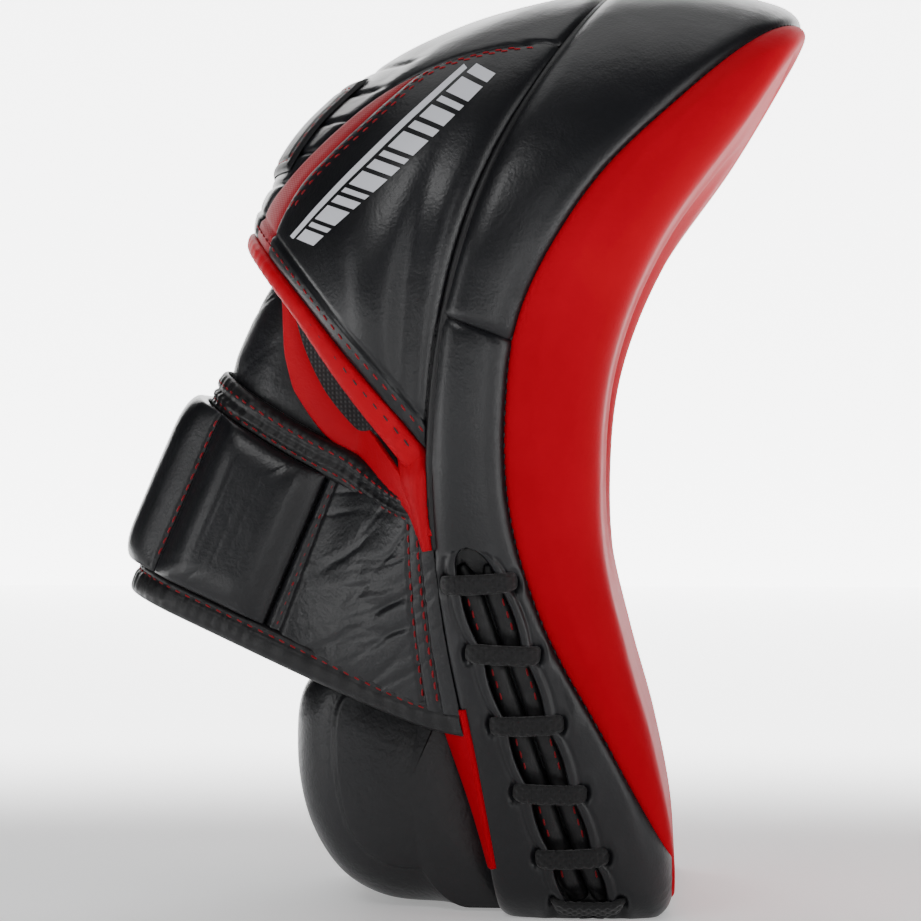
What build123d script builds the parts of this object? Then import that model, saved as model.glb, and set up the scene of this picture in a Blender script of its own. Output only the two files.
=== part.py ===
"""Curved boxing focus mitt: padded strike body, laced sides, back-of-hand hood, wrist cuff and closure strap.

Frame: +Z runs from the wrist end up to the fingertips, +X is the way the strike face looks, and +Y is the
wearer's left. The origin is the centre of the footprint on the surface that the mitt stands on.
Millimetres throughout.
"""
from build123d import *
from math import asin, cos, degrees, radians, sin, sqrt
import os

os.makedirs("parts", exist_ok=True)

# ---------------------------------------------------------------- driving dimensions
HEIGHT = 280.0            # overall, wrist end to fingertip end
TOP_RADIUS = 91.0         # rounded fingertip end, seen from the front; also the half width
FLANK_RADIUS = 840.0      # long arc down each side to the narrower wrist end
FOOT_RADIUS = 8.0         # corner between a side and the base
LEATHER = 2.0             # cover thickness
FRONT_ROUND = 12.0        # rounding between strike face and side
BASE_ROUND = 5.0          # rounding under the strike face at the base
GAP = 0.3                 # air between pieces that are not sewn together
SEAM_LAP = 0.4            # how far the rear panel wraps on to the sides

GEL = 8.0                 # gel sheet behind the strike cover
IMPACT_FOAM = 26.0        # depth from the face at which the impact foam ends
DISH_RADIUS = 160.0       # sphere that hollows the target dish
DISH_DEPTH = 8.0
DISH_HEIGHT = 170.0       # z of the dish's centre
TARGET_RADIUS = 40.0      # round target panel sewn into the dish

# Side view, as (x, z): rear surface of the pad, strike face, leather seam on the side, back of the hood.
REAR = [(16.5, -6), (7.5, 47), (-1, 94), (-3.5, 135), (1, 177), (15, 222), (30, 250), (53, 286)]
FACE = [(66, -6), (62, 47), (50, 90), (45.6, 130), (50, 163), (64, 199), (84, 233), (110, 286)]
SEAM = [(74, -6), (66, 17), (47, 52), (29, 86), (19.5, 120), (18.3, 150), (24, 181), (47, 219), (82, 252), (120, 286)]
HOOD_BACK = [(-62, 110), (-66, 160), (-65.5, 190), (-60, 215), (-44, 240), (-17, 260), (12, 272), (50, 281)]

# Opening of the hood: a plane square to the side view, through this point, with this slope.
OPENING_POINT = (-4.5, 140.5)
OPENING_NORMAL = (0.757, 0.654)
BINDING_WIDTH = 9.0
HOOD_LEATHER = 2.0
HOOD_FOAM = 5.0
HOOD_LINING = 1.2
HOOD_SQUARENESS = 2.4     # superellipse exponent of the hood's arch

# Wrist frame: u points away from the pad across the wrist, w runs up along it. Origin on the strap's back.
WRIST_ORIGIN = (-90.15, 0.0, 130.0)
WRIST_TILT = 23.5         # lean of the wrist axis from vertical, degrees
CUFF_BACK = -6.0          # u of the cuff's back surface
CUFF_FLARE = 15.5         # each cuff wall opens towards the pad by this much, degrees
CUFF_BACK_HALF = 43.5     # half width where wall and back lines meet
CUFF_CORNER = 24.0
CUFF_WALL = 5.0
CUFF_LOW, CUFF_HIGH = -35.5, 34.0
STRAP_LOW, STRAP_HIGH = -27.0, 26.0
STRAP_IN, STRAP_OUT = 1.4, 5.6
SEAM_U = -50.0            # where the closure strap is sewn on, and hinges
TIP_U = -46.0             # free end of the strap on the other side

# Lacing: a flat lying on the tapered side, x forward, v up.
LACE_RADIUS = 1.5
LACE_BEND = 2.7
LACE_HALF_SPAN = 9.5      # each crossing runs this far either side of the lacing line
LACE_LEVELS = [-0.5, -20.5, -40.5, -59.5, -77.5, -90.0]
LACE_STAND_OFF = 1.3      # the side bulges a little past the lacing plane
TROUGH_HALF = 14.0
TROUGH_DEPTH = 9.0
TONGUE_HALF = 7.0
WINDOW_HALF = 5.5
ROLL_RADIUS = 2.4

WIDE = 400.0              # larger than the mitt, for cutting regions

# ---------------------------------------------------------------- side-view curves


def x_on(points, z):
    """x at height z on the smooth curve through (x, z) points."""
    edge = Edge.make_spline([Vector(x, 0, height) for x, height in points])
    low, high = 0.0, 1.0
    for _ in range(40):
        middle = (low + high) / 2
        if (edge @ middle).Z < z:
            low = middle
        else:
            high = middle
    return (edge @ low).X


def drop(distance, radius):
    """How far a quarter round of this radius has fallen away at a distance from its edge."""
    if distance >= radius:
        return 0.0
    return radius - sqrt(radius**2 - (radius - max(distance, 0.0)) ** 2)


def half_width(z):
    """Half width of the pad at height z."""
    shoulder = HEIGHT - TOP_RADIUS
    if z >= shoulder:
        return sqrt(max(TOP_RADIUS**2 - (z - shoulder) ** 2, 0.0))
    flank = TOP_RADIUS - FLANK_RADIUS + sqrt(FLANK_RADIUS**2 - (shoulder - z) ** 2)
    return flank - drop(z, FOOT_RADIUS)


def shrink(points, amount):
    """The curve moved by amount in x."""
    return [(x + amount, z) for x, z in points]


# ---------------------------------------------------------------- regions that trim the pieces


def side_region(points, toward):
    """Everything in front of (toward=+1) or behind (-1) a side-view curve."""
    with BuildPart() as region:
        with BuildSketch(Plane.XZ):
            with BuildLine():
                edge = Spline(*points)
                Polyline(edge @ 1, (toward * WIDE, (edge @ 1).Y), (toward * WIDE, (edge @ 0).Y), edge @ 0)
            make_face()
        extrude(amount=WIDE / 2, both=True)
    return region.part


def opening_slab(start, end):
    """Slab square to the hood's opening, between two distances along its normal."""
    normal = Vector(OPENING_NORMAL[0], 0, OPENING_NORMAL[1]).normalized()
    origin = Vector(OPENING_POINT[0], 0, OPENING_POINT[1]) + normal * start
    with BuildPart() as slab:
        with BuildSketch(Plane(origin=origin, x_dir=(0, 1, 0), z_dir=normal)):
            Rectangle(WIDE, WIDE)
        extrude(amount=end - start)
    return slab.part


def block(x_range, y_range, z_range):
    """Box between two values on each axis."""
    low, high = zip(x_range, y_range, z_range)
    size = [b - a for a, b in zip(low, high)]
    with BuildPart() as solid:
        with Locations(low):
            Box(*size, align=(Align.MIN, Align.MIN, Align.MIN))
    return solid.part


def trimmed(label, base, keep=(), cut=()):
    """A piece: the base solid kept inside each region and cut by others."""
    with BuildPart() as piece:
        add(base)
        for region in keep:
            add(region, mode=Mode.INTERSECT)
        for region in cut:
            add(region, mode=Mode.SUBTRACT)
    piece.part.label = label
    return piece.part


def save(piece, label):
    """Writes one finished piece as its own STEP file."""
    piece.label = label
    export_step(piece, f"parts/{label}.step")


# ---------------------------------------------------------------- pad body

PAD_LEVELS = [0, 2, 6, 12, 30, 65, 105, 145, 185, 212, 235, 252, 264, 272, 277, 279.4]


def pad_body(inset):
    """The pad, moved in by inset on every side, with its target dish."""
    scale_y = (TOP_RADIUS - inset) / TOP_RADIUS
    scale_z = (HEIGHT - 2 * inset) / HEIGHT
    slope = Vector(1, 0, -0.33).normalized()
    face = Vector(x_on(FACE, DISH_HEIGHT), 0, DISH_HEIGHT)
    with BuildPart() as body:
        for level in PAD_LEVELS:
            z = inset + level * scale_z
            rear = x_on(REAR, z) + inset
            rounding = drop(HEIGHT - level, FRONT_ROUND) + drop(level, BASE_ROUND)
            front = x_on(FACE, z) - 1.15 * inset - rounding
            half = half_width(level) * scale_y
            corner = min(FRONT_ROUND - inset, 0.8 * half)
            with BuildSketch(Plane.XY.offset(z)):
                with BuildLine():
                    Line((rear, -half), (front - corner, -half))
                    RadiusArc((front - corner, -half), (front, corner - half), -corner)
                    Line((front, corner - half), (front, half - corner))
                    RadiusArc((front, half - corner), (front - corner, half), -corner)
                    Line((front - corner, half), (rear, half))
                    Line((rear, half), (rear, -half))
                make_face()
        loft()
        with Locations(face + slope * (DISH_RADIUS - DISH_DEPTH)):
            Sphere(DISH_RADIUS + inset, mode=Mode.SUBTRACT)
    return body.part


pad_outside = pad_body(0)
pad_inside = pad_body(LEATHER)
pad_leather = trimmed("pad_leather", pad_outside, cut=[pad_inside])

ahead_of_seam = side_region(SEAM, 1)
behind_seam = side_region(SEAM, -1)
rear_layer = side_region(shrink(REAR, LEATHER + SEAM_LAP), -1)
beyond_rear_layer = side_region(shrink(REAR, LEATHER + SEAM_LAP), 1)

dish_normal = Vector(1, 0, -0.33).normalized()
with BuildPart() as target_zone:
    with BuildSketch(Plane(origin=(x_on(FACE, DISH_HEIGHT), 0, DISH_HEIGHT), x_dir=(0, 1, 0), z_dir=dish_normal)):
        Circle(TARGET_RADIUS)
    extrude(amount=20, both=True)

save(trimmed("target", pad_leather, [ahead_of_seam, target_zone.part]), "target_panel")
save(trimmed("strike", pad_leather, [ahead_of_seam], [target_zone.part]), "strike_cover")
save(trimmed("rear", pad_leather, [rear_layer, behind_seam]), "palm_side_panel")

# The side leather is one piece over the fingertips and one down each side, with a base between them.
CROSS_SEAM = [(-20, 182.5), (5.4, 173.5), (17.7, 169), (40, 160.8)]
with BuildPart() as above_cross_seam:
    with BuildSketch(Plane.XZ):
        with BuildLine():
            Polyline((-150, 175), *CROSS_SEAM, (200, 160.8), (200, 320), (-150, 320), close=True)
        make_face()
    extrude(amount=WIDE / 2, both=True)

side_leather = trimmed("side", pad_leather, [behind_seam, beyond_rear_layer])
save(trimmed("crown", side_leather, [above_cross_seam.part]), "fingertip_side_panel")
BASE_HALF = 56.0
base_zone = block((-50, 150), (-BASE_HALF, BASE_HALF), (-1, 12))
save(trimmed("base", side_leather, [base_zone], [above_cross_seam.part]), "base_panel")
lower_side_leather = trimmed("flank", side_leather, cut=[above_cross_seam.part, base_zone])

# ---------------------------------------------------------------- lacing

TAPER_TOP, TAPER_LOW = 100.0, 20.0
taper = degrees(asin((half_width(TAPER_TOP) - half_width(TAPER_LOW)) / (TAPER_TOP - TAPER_LOW)))


def lacing_x(v):
    """The lacing line leans forward as it runs down."""
    return 9.0 + 32.5 * (10.0 - v) / 104.0


def lacing_plane(side, depth=0.0):
    """Plane on one side of the pad (-1 right, +1 left), sunk by depth."""
    normal = Vector(0, side * cos(radians(taper)), -sin(radians(taper)))
    origin = Vector(0, side * half_width(TAPER_TOP), TAPER_TOP) - normal * depth
    return Plane(origin=origin, x_dir=(side * -1, 0, 0), z_dir=normal)


def lacing_band(side, half, top, bottom, depth, thickness, corner):
    """Slanted slot that follows the lacing line, from depth down through thickness."""
    with BuildPart() as band:
        with BuildSketch(lacing_plane(side, depth)):
            with BuildLine():
                corners = [(lacing_x(v) + offset, v) for v, offset in
                           [(top, -half), (top, half), (bottom, half), (bottom, -half)]]
                Polyline(*[(x * side * -1, v) for x, v in corners], close=True)
            face = make_face()
            fillet(face.vertices(), corner)
        extrude(amount=-thickness)
    return band.part


def lace_hole_points(side):
    """Centres of the lace holes, in the lacing plane."""
    spans = (-LACE_HALF_SPAN, LACE_HALF_SPAN)
    return [((lacing_x(v) + span) * side * -1, v) for v in LACE_LEVELS for span in spans]


def lace_path(side):
    """Route of the lace: out through a hole, over the rolls, in, along, and out again."""
    outside, inside = LACE_RADIUS + LACE_STAND_OFF, -LEATHER - GAP - LACE_RADIUS
    route = [(lacing_x(LACE_LEVELS[0]) - LACE_HALF_SPAN + 3.0, LACE_LEVELS[0] + 7.5, inside)]
    for turn, v in enumerate(LACE_LEVELS):
        first, second = (-1, 1) if turn % 2 == 0 else (1, -1)
        for span, levels in ((first, (inside, outside)), (second, (outside, inside))):
            route += [(lacing_x(v) + span * LACE_HALF_SPAN, v, level) for level in levels]
    last_x, last_v, _ = route[-1]
    route.append((last_x - 3.0, last_v + 7.5, inside))
    plane = lacing_plane(side)
    return [plane.from_local_coords((x * side * -1, v, level)) for x, v, level in route]


def rolled_stay(side):
    """The two rolled leather edges that the lace draws together."""
    with BuildPart() as rolls:
        plane = lacing_plane(side, LEATHER + ROLL_RADIUS - 1.2)
        for offset in (-ROLL_RADIUS - 0.25, ROLL_RADIUS + 0.25):
            ends = [plane.from_local_coords(((lacing_x(v) + offset) * side * -1, v, 0)) for v in (2, -90)]
            axis = ends[1] - ends[0]
            with BuildSketch(Plane(origin=ends[0], z_dir=axis)):
                Circle(ROLL_RADIUS)
            extrude(amount=axis.length)
    return rolls.part


foam_cuts = []
for side, name in ((-1, "right"), (1, "left")):
    half_space = block((-150, 200), (-WIDE, 0) if side < 0 else (0, WIDE), (-10, 300))
    trough = lacing_band(side, TROUGH_HALF, 14, -96, -12, TROUGH_DEPTH + 12, 6)
    window = lacing_band(side, WINDOW_HALF, 8.5, -96, -6, 12, 5.2)
    foam_cuts.append(trough)
    with BuildPart() as holes:
        with BuildSketch(lacing_plane(side, -6)):
            with Locations(*lace_hole_points(side)):
                Circle(LACE_RADIUS + 0.8)
        extrude(amount=-12)
    save(trimmed("flank", lower_side_leather, [half_space], [window, holes.part]), f"{name}_laced_side_panel")
    save(lacing_band(side, TONGUE_HALF, 12, -88, TROUGH_DEPTH - 2.0, 1.5, 5), f"{name}_lace_tongue")
    save(rolled_stay(side), f"{name}_lace_rolls")
    path_points = lace_path(side)
    with BuildPart() as lace:
        with BuildLine() as route:
            FilletPolyline(*path_points, radius=LACE_BEND)
        wire = route.wires()[0]
        with BuildSketch(Plane(origin=wire @ 0, z_dir=wire % 0)):
            Circle(LACE_RADIUS)
        sweep(path=wire)
    length = wire.length
    print(name, "lace", round(length), "mm long,", round(lace.part.volume), "of", round(7.0686 * length), "mm3")
    save(lace.part, f"{name}_lace")

# ---------------------------------------------------------------- layers inside the pad

behind_gel = side_region(shrink(FACE, -GEL - LEATHER), -1)
ahead_of_gel = side_region(shrink(FACE, -GEL - LEATHER), 1)
behind_impact = side_region(shrink(FACE, -IMPACT_FOAM), -1)
ahead_of_impact = side_region(shrink(FACE, -IMPACT_FOAM), 1)
save(trimmed("gel", pad_inside, [ahead_of_gel], foam_cuts), "gel_sheet")
save(trimmed("impact", pad_inside, [behind_gel, ahead_of_impact], foam_cuts), "impact_foam")
save(trimmed("backing", pad_inside, [behind_impact], foam_cuts), "backing_foam")

# ---------------------------------------------------------------- hood over the back of the hand

HOOD_LEVELS = [108, 135, 160, 185, 208, 228, 244, 257, 267, 274, 278]
ARCH_ANGLES = [-90, -68, -45, -22, 0, 22, 45, 68, 90]


def hood_body(inset, seat=-GAP):
    """Solid under the hood's arch, moved in by inset; seat is how far past the pad's rear surface it starts."""
    with BuildPart() as body:
        for level in HOOD_LEVELS:
            z = level - inset * level / HEIGHT
            rear = x_on(REAR, level) + seat
            depth = x_on(REAR, level) - GAP - x_on(HOOD_BACK, level) - inset
            half = max(half_width(level) - 0.5 - inset, 2.0)
            power = 2 / HOOD_SQUARENESS
            arch = []
            for angle in ARCH_ANGLES:
                across, away = sin(radians(angle)), max(cos(radians(angle)), 0.0)
                y = half * abs(across) ** power * (1 if across > 0 else -1)
                arch.append((x_on(REAR, level) - GAP - max(depth, 1.0) * away**power, y))
            with BuildSketch(Plane.XY.offset(z)):
                with BuildLine():
                    Spline(*arch)
                    if seat > -GAP:
                        Polyline(arch[-1], (rear, arch[-1][1]), (rear, arch[0][1]), arch[0])
                    else:
                        Line(arch[-1], arch[0])
                make_face()
        loft()
    return body.part


above_opening = opening_slab(0, WIDE)
binding_slab = opening_slab(-BINDING_WIDTH, 0)
skin_depth = HOOD_LEATHER
foam_depth = skin_depth + HOOD_FOAM
lining_depth = foam_depth + HOOD_LINING
hood_outside = hood_body(0)
hood_under_skin = hood_body(skin_depth, 20)
hood_under_foam = hood_body(foam_depth, 20)
hood_cavity = hood_body(lining_depth, 20)

# Two stretch insets, widening towards the opening, with a centre panel between them (y, z from behind).
INSET_INNER = [(60, 249), (61, 236), (55, 219), (43, 196)]
INSET_OUTER = [(60, 249), (66, 236), (63.5, 219), (57, 196)]


def inset_zone(sign):
    """Lens between the centre panel and the hood's side leather."""
    with BuildPart() as zone:
        with BuildSketch(Plane.YZ.offset(-120)):
            with BuildLine():
                inner = Spline(*[(sign * y, z) for y, z in INSET_INNER])
                outer = Spline(*[(sign * y, z) for y, z in INSET_OUTER])
                Line(inner @ 1, outer @ 1)
            make_face()
        extrude(amount=150)
    return zone.part


with BuildPart() as centre_zone:
    with BuildSketch(Plane.YZ.offset(-120)):
        with BuildLine():
            right_edge = Spline(*[(-y, z) for y, z in INSET_INNER])
            left_edge = Spline(*INSET_INNER)
            Line(right_edge @ 0, left_edge @ 0)
            Line(right_edge @ 1, left_edge @ 1)
        make_face()
    extrude(amount=150)

hood_leather = trimmed("hood_leather", hood_outside, [above_opening], [hood_under_skin])
right_inset, left_inset = inset_zone(-1), inset_zone(1)
save(trimmed("hood", hood_leather, cut=[right_inset, left_inset, centre_zone.part]), "hood_side_panel")
save(trimmed("spine", hood_leather, [centre_zone.part]), "hood_centre_panel")
save(trimmed("inset", hood_leather, [right_inset]), "right_stretch_inset")
save(trimmed("inset", hood_leather, [left_inset]), "left_stretch_inset")
save(trimmed("foam", hood_under_skin, [above_opening, side_region(shrink(REAR, -GAP), -1)], [hood_under_foam]), "hood_foam")
save(trimmed("lining", hood_under_foam, [above_opening, side_region(shrink(REAR, -GAP), -1)], [hood_cavity]), "hood_lining")
hood_proud = hood_body(-1.2)
save(trimmed("binding", hood_proud, [binding_slab], [hood_cavity]), "hood_binding")
patch_zone = block((-120, 10), (-38, 38), (222, 248))
save(trimmed("patch", hood_body(-1.5), [patch_zone], [hood_outside]), "knuckle_patch")

# ---------------------------------------------------------------- inside the hand compartment

GRIP_HEIGHT, GRIP_RADIUS, GRIP_RISE = 152.0, 30.0, 17.0
grip_sphere = (GRIP_RADIUS**2 + GRIP_RISE**2) / (2 * GRIP_RISE)
behind_pad = side_region(shrink(REAR, -GAP), -1)
with BuildPart() as grip:
    with Locations((x_on(REAR, GRIP_HEIGHT) - GRIP_RISE + grip_sphere, 0, GRIP_HEIGHT)):
        Sphere(grip_sphere)
    add(behind_pad, mode=Mode.INTERSECT)
save(grip.part, "palm_grip")

BAND_LOW, BAND_HIGH, BAND_RISE, BAND_HALF = 196.0, 224.0, 26.0, 52.0
with BuildPart() as finger_band:
    for radius_cut, mode in ((0.0, Mode.ADD), (2.2, Mode.SUBTRACT)):
        low_x, high_x = x_on(REAR, BAND_LOW), x_on(REAR, BAND_HIGH)
        with BuildSketch(Plane.XY.offset(BAND_LOW - (1 if radius_cut else 0)), mode=Mode.PRIVATE) as low_arch:
            with Locations((low_x - GAP, 0)):
                Ellipse(BAND_RISE - radius_cut, BAND_HALF - radius_cut)
        with BuildSketch(Plane.XY.offset(BAND_HIGH + (1 if radius_cut else 0)), mode=Mode.PRIVATE) as high_arch:
            with Locations((high_x - GAP, 0)):
                Ellipse(BAND_RISE - radius_cut, BAND_HALF - radius_cut)
        loft(sections=[low_arch.sketch, high_arch.sketch], mode=mode)
    add(behind_pad, mode=Mode.INTERSECT)
save(finger_band.part, "finger_band")

# ---------------------------------------------------------------- wrist cuff

tilt = radians(WRIST_TILT)
WRIST_UP = Vector(sin(tilt), 0, cos(tilt))
WRIST_OUT = Vector(-cos(tilt), 0, sin(tilt))


def wrist_plane(w):
    """Plane across the wrist at height w: x is away from the pad, y to the wearer's right."""
    return Plane(origin=Vector(*WRIST_ORIGIN) + WRIST_UP * w, x_dir=WRIST_OUT, z_dir=WRIST_UP)


def cuff_layer(inner, outer, low, high):
    """U-shaped wall between two distances outside the cuff's own surface, from low to high along the wrist."""
    reach = 150.0
    flare = radians(CUFF_FLARE)
    mouth_u = CUFF_BACK - reach * cos(flare)
    mouth_half = CUFF_BACK_HALF + reach * sin(flare)
    with BuildPart() as wall:
        for distance, mode in ((outer, Mode.ADD), (inner, Mode.SUBTRACT)):
            with BuildSketch(wrist_plane(low)):
                with BuildLine():
                    Polyline((mouth_u, -mouth_half), (CUFF_BACK, -CUFF_BACK_HALF), (CUFF_BACK, CUFF_BACK_HALF),
                             (mouth_u, mouth_half), close=True)
                face = make_face()
                back_corners = face.vertices().sort_by(Axis.X)[-2:]
                fillet(back_corners, CUFF_CORNER)
                if distance:
                    offset(amount=distance, kind=Kind.INTERSECTION)
            extrude(amount=high - low, mode=mode)
    return wall.part


def wrist_zone(corners, low=-120.0, high=120.0):
    """Prism along the wrist over a polygon of (u, y) corners, y to the wearer's right."""
    with BuildPart() as zone:
        with BuildSketch(wrist_plane(low)):
            with BuildLine():
                Polyline(*corners, close=True)
            make_face()
        extrude(amount=high - low)
    return zone.part


left_of_pad = side_region(shrink(REAR, -GAP), -1)
save(trimmed("cuff", cuff_layer(-CUFF_WALL, 0, CUFF_LOW, CUFF_HIGH), [left_of_pad]), "cuff_padding")
save(trimmed("band", cuff_layer(0, STRAP_OUT, STRAP_HIGH + 1, CUFF_HIGH + 1.5), [left_of_pad]), "cuff_top_band")
save(trimmed("band", cuff_layer(0, STRAP_OUT, CUFF_LOW - 1, STRAP_LOW - 1), [left_of_pad]), "cuff_bottom_band")

near_root = wrist_zone([(SEAM_U - GAP, 0), (SEAM_U - GAP, 150), (-160, 150), (-160, 0)])
far_root = wrist_zone([(SEAM_U - GAP, 0), (SEAM_U - GAP, -150), (-160, -150), (-160, 0)])
root_layer = trimmed("root_layer", cuff_layer(0, 3.0, STRAP_LOW, STRAP_HIGH), [left_of_pad])
save(trimmed("root", root_layer, [near_root]), "strap_root_panel")
save(trimmed("root", root_layer, [far_root]), "left_cuff_panel")

PANEL_HIGH = 62.0

# Back-of-hand panel and the two gussets that carry the cuff up under the hood (side-view regions).
PANEL_EDGE = [(-110, 130), (-110, 215), (-52, 215), (-52, 183), (-49, 157), (-43.5, 148), (-30, 134.5), (-20, 125)]
GUSSET_EDGE = [(-51.5, 183), (-48.5, 157), (-43, 147.5), (-30, 134), (-8, 112), (-3.5, 126), (-13.5, 131),
               (-25, 143), (-38, 157), (-45, 176), (-46, 184)]


def side_view_zone(points):
    """Prism across the mitt over a polygon of (x, z) corners."""
    with BuildPart() as zone:
        with BuildSketch(Plane.XZ):
            with BuildLine():
                Polyline(*points, close=True)
            make_face()
        extrude(amount=WIDE / 2, both=True)
    return zone.part


upper_wall = cuff_layer(-4.0, -0.8, CUFF_HIGH + 1.7, PANEL_HIGH)
save(trimmed("back_of_hand", upper_wall, [side_view_zone(PANEL_EDGE)], []), "back_of_hand_panel")
gusset_zone = side_view_zone(GUSSET_EDGE)
right_half, left_half = block((-150, 150), (-WIDE, -20), (0, 300)), block((-150, 150), (20, WIDE), (0, 300))
gussets = trimmed("gussets", upper_wall, [gusset_zone, left_of_pad], [side_view_zone(PANEL_EDGE)])
save(trimmed("gusset", gussets, [right_half]), "right_wrist_gusset")
save(trimmed("gusset", gussets, [left_half]), "left_wrist_gusset")

# ---------------------------------------------------------------- closure strap, in three hinged lengths

strap = cuff_layer(STRAP_IN, STRAP_OUT, STRAP_LOW, STRAP_HIGH)
corner_centre = (CUFF_BACK - CUFF_CORNER,
                 CUFF_BACK_HALF + CUFF_CORNER * sin(radians(CUFF_FLARE)) / cos(radians(CUFF_FLARE)) - CUFF_CORNER / cos(radians(CUFF_FLARE)))
bisector = (cos(radians((90 - CUFF_FLARE) / 2)), sin(radians((90 - CUFF_FLARE) / 2)))
reach_out = 80.0
corner_out = (corner_centre[0] + bisector[0] * reach_out, corner_centre[1] + bisector[1] * reach_out)
half_gap = GAP / 2


def shifted(point, sign):
    """A point moved half a gap to one side of the corner's dividing line."""
    return (point[0] - sign * bisector[1] * half_gap, point[1] + sign * bisector[0] * half_gap)


inner_corner = (-40.0, 0.0)
near_part = [(SEAM_U, 150), (SEAM_U, 0), shifted(inner_corner, 1), shifted(corner_centre, 1), shifted(corner_out, 1), (40, 150)]
back_part = [shifted(corner_centre, -1), shifted(corner_out, -1)]
back_part += [(u, -y) for u, y in reversed(back_part)]
tip_part = [(u, -y) for u, y in near_part]
tip_part[0], tip_part[1] = (TIP_U, -150), (TIP_U, 0)
save(trimmed("tab", strap, [wrist_zone(near_part)]), "strap_near_panel")
save(trimmed("back", strap, [wrist_zone(back_part)]), "strap_back_panel")
save(trimmed("tip", strap, [wrist_zone(tip_part)]), "strap_tip_panel")

patch_far = wrist_zone([(-22, -20), (-22, -150), (TIP_U + 4, -150), (TIP_U + 4, -20)])
save(trimmed("hook", cuff_layer(0.8, STRAP_IN, STRAP_LOW + 4, STRAP_HIGH - 4), [patch_far]), "hook_patch")
loop_far = wrist_zone([(-20, -20), (-20, -150), (SEAM_U + 1, -150), (SEAM_U + 1, -20)])
save(trimmed("loop", cuff_layer(0, 0.5, STRAP_LOW + 3, STRAP_HIGH - 3), [loop_far]), "loop_patch")

# ---------------------------------------------------------------- wrist cushion under the cuff

CUSHION_HALF = 54.0
CUSHION_BACK = -48.5
CUSHION_TOP = 70.0
CUSHION_COVER = 2.0


def cushion_body(inset):
    """Rounded bolster between the wrist and the lower pad."""
    back, top, half = CUSHION_BACK + inset, CUSHION_TOP - inset, CUSHION_HALF - inset
    with BuildPart() as cushion:
        with BuildSketch(Plane.XZ):
            with BuildLine():
                Line((40, top), (back + 14, top))
                RadiusArc((back + 14, top), (back, top - 14), -14)
                Line((back, top - 14), (back, 40))
                ThreePointArc((back, 40), (back + 9, 13 + 0.7 * inset), (back + 30, inset))
                Line((back + 30, inset), (40, inset))
                Line((40, inset), (40, top))
            make_face()
        extrude(amount=half, both=True)
        add(behind_pad, mode=Mode.INTERSECT)
    return cushion.part


cushion_outside, cushion_inside = cushion_body(0), cushion_body(CUSHION_COVER)
save(trimmed("cover", cushion_outside, cut=[cushion_inside]), "wrist_cushion_cover")
save(cushion_inside, "wrist_cushion_foam")

WEDGE_LOW, WEDGE_HIGH = 10.0, 46.0
for side, name in ((-1, "right"), (1, "left")):
    with BuildPart() as wedge:
        with BuildSketch(Plane.XY.offset(WEDGE_LOW)):
            with BuildLine():
                Polyline((30, side * CUSHION_HALF), (-14, side * CUSHION_HALF), (30, side * 88), close=True)
            make_face()
        extrude(amount=WEDGE_HIGH - WEDGE_LOW)
        add(behind_pad, mode=Mode.INTERSECT)
    save(wedge.part, f"{name}_wedge")
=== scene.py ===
"""Looks for the curved boxing focus mitt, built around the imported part.

Lengths are millimetres in here and become metres when a mesh is made. The frame is the part's own:
+Z wrist to fingertips, +X out of the strike face, -Y the wearer's right, which faces the camera.
"""

import bmesh
import bpy
import math
import numpy as np
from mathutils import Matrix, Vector


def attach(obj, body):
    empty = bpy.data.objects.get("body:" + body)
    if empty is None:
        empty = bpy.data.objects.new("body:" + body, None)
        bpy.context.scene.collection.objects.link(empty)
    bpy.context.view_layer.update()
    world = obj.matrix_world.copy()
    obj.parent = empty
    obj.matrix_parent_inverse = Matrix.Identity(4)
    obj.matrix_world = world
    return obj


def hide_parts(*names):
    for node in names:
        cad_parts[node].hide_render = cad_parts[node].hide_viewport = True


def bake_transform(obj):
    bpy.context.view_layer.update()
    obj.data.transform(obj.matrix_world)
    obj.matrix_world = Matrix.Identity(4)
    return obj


MM = 0.001
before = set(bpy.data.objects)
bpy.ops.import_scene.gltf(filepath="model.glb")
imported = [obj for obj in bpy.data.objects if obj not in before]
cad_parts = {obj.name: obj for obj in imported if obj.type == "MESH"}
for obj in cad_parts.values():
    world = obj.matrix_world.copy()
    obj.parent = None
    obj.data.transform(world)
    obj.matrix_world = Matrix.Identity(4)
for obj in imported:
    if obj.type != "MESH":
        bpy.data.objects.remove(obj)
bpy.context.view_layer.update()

# ------------------------------------------------------------------ side-view curves, (x, z)


def curve(points):
    """Smooth x(z) through (x, z) points."""
    p = np.array(points, float)
    z, x = p[:, 1], p[:, 0]
    slope = np.gradient(x, z)

    def at(q):
        q = np.asarray(q, float)
        i = np.clip(np.searchsorted(z, q) - 1, 0, len(z) - 2)
        h = z[i + 1] - z[i]
        t = np.clip((q - z[i]) / h, 0, 1)
        a, b = 2 * t**3 - 3 * t**2 + 1, 3 * t**2 - 2 * t**3
        return a * x[i] + b * x[i + 1] + h * ((t**3 - 2 * t**2 + t) * slope[i] + (t**3 - t**2) * slope[i + 1])

    return at


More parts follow.
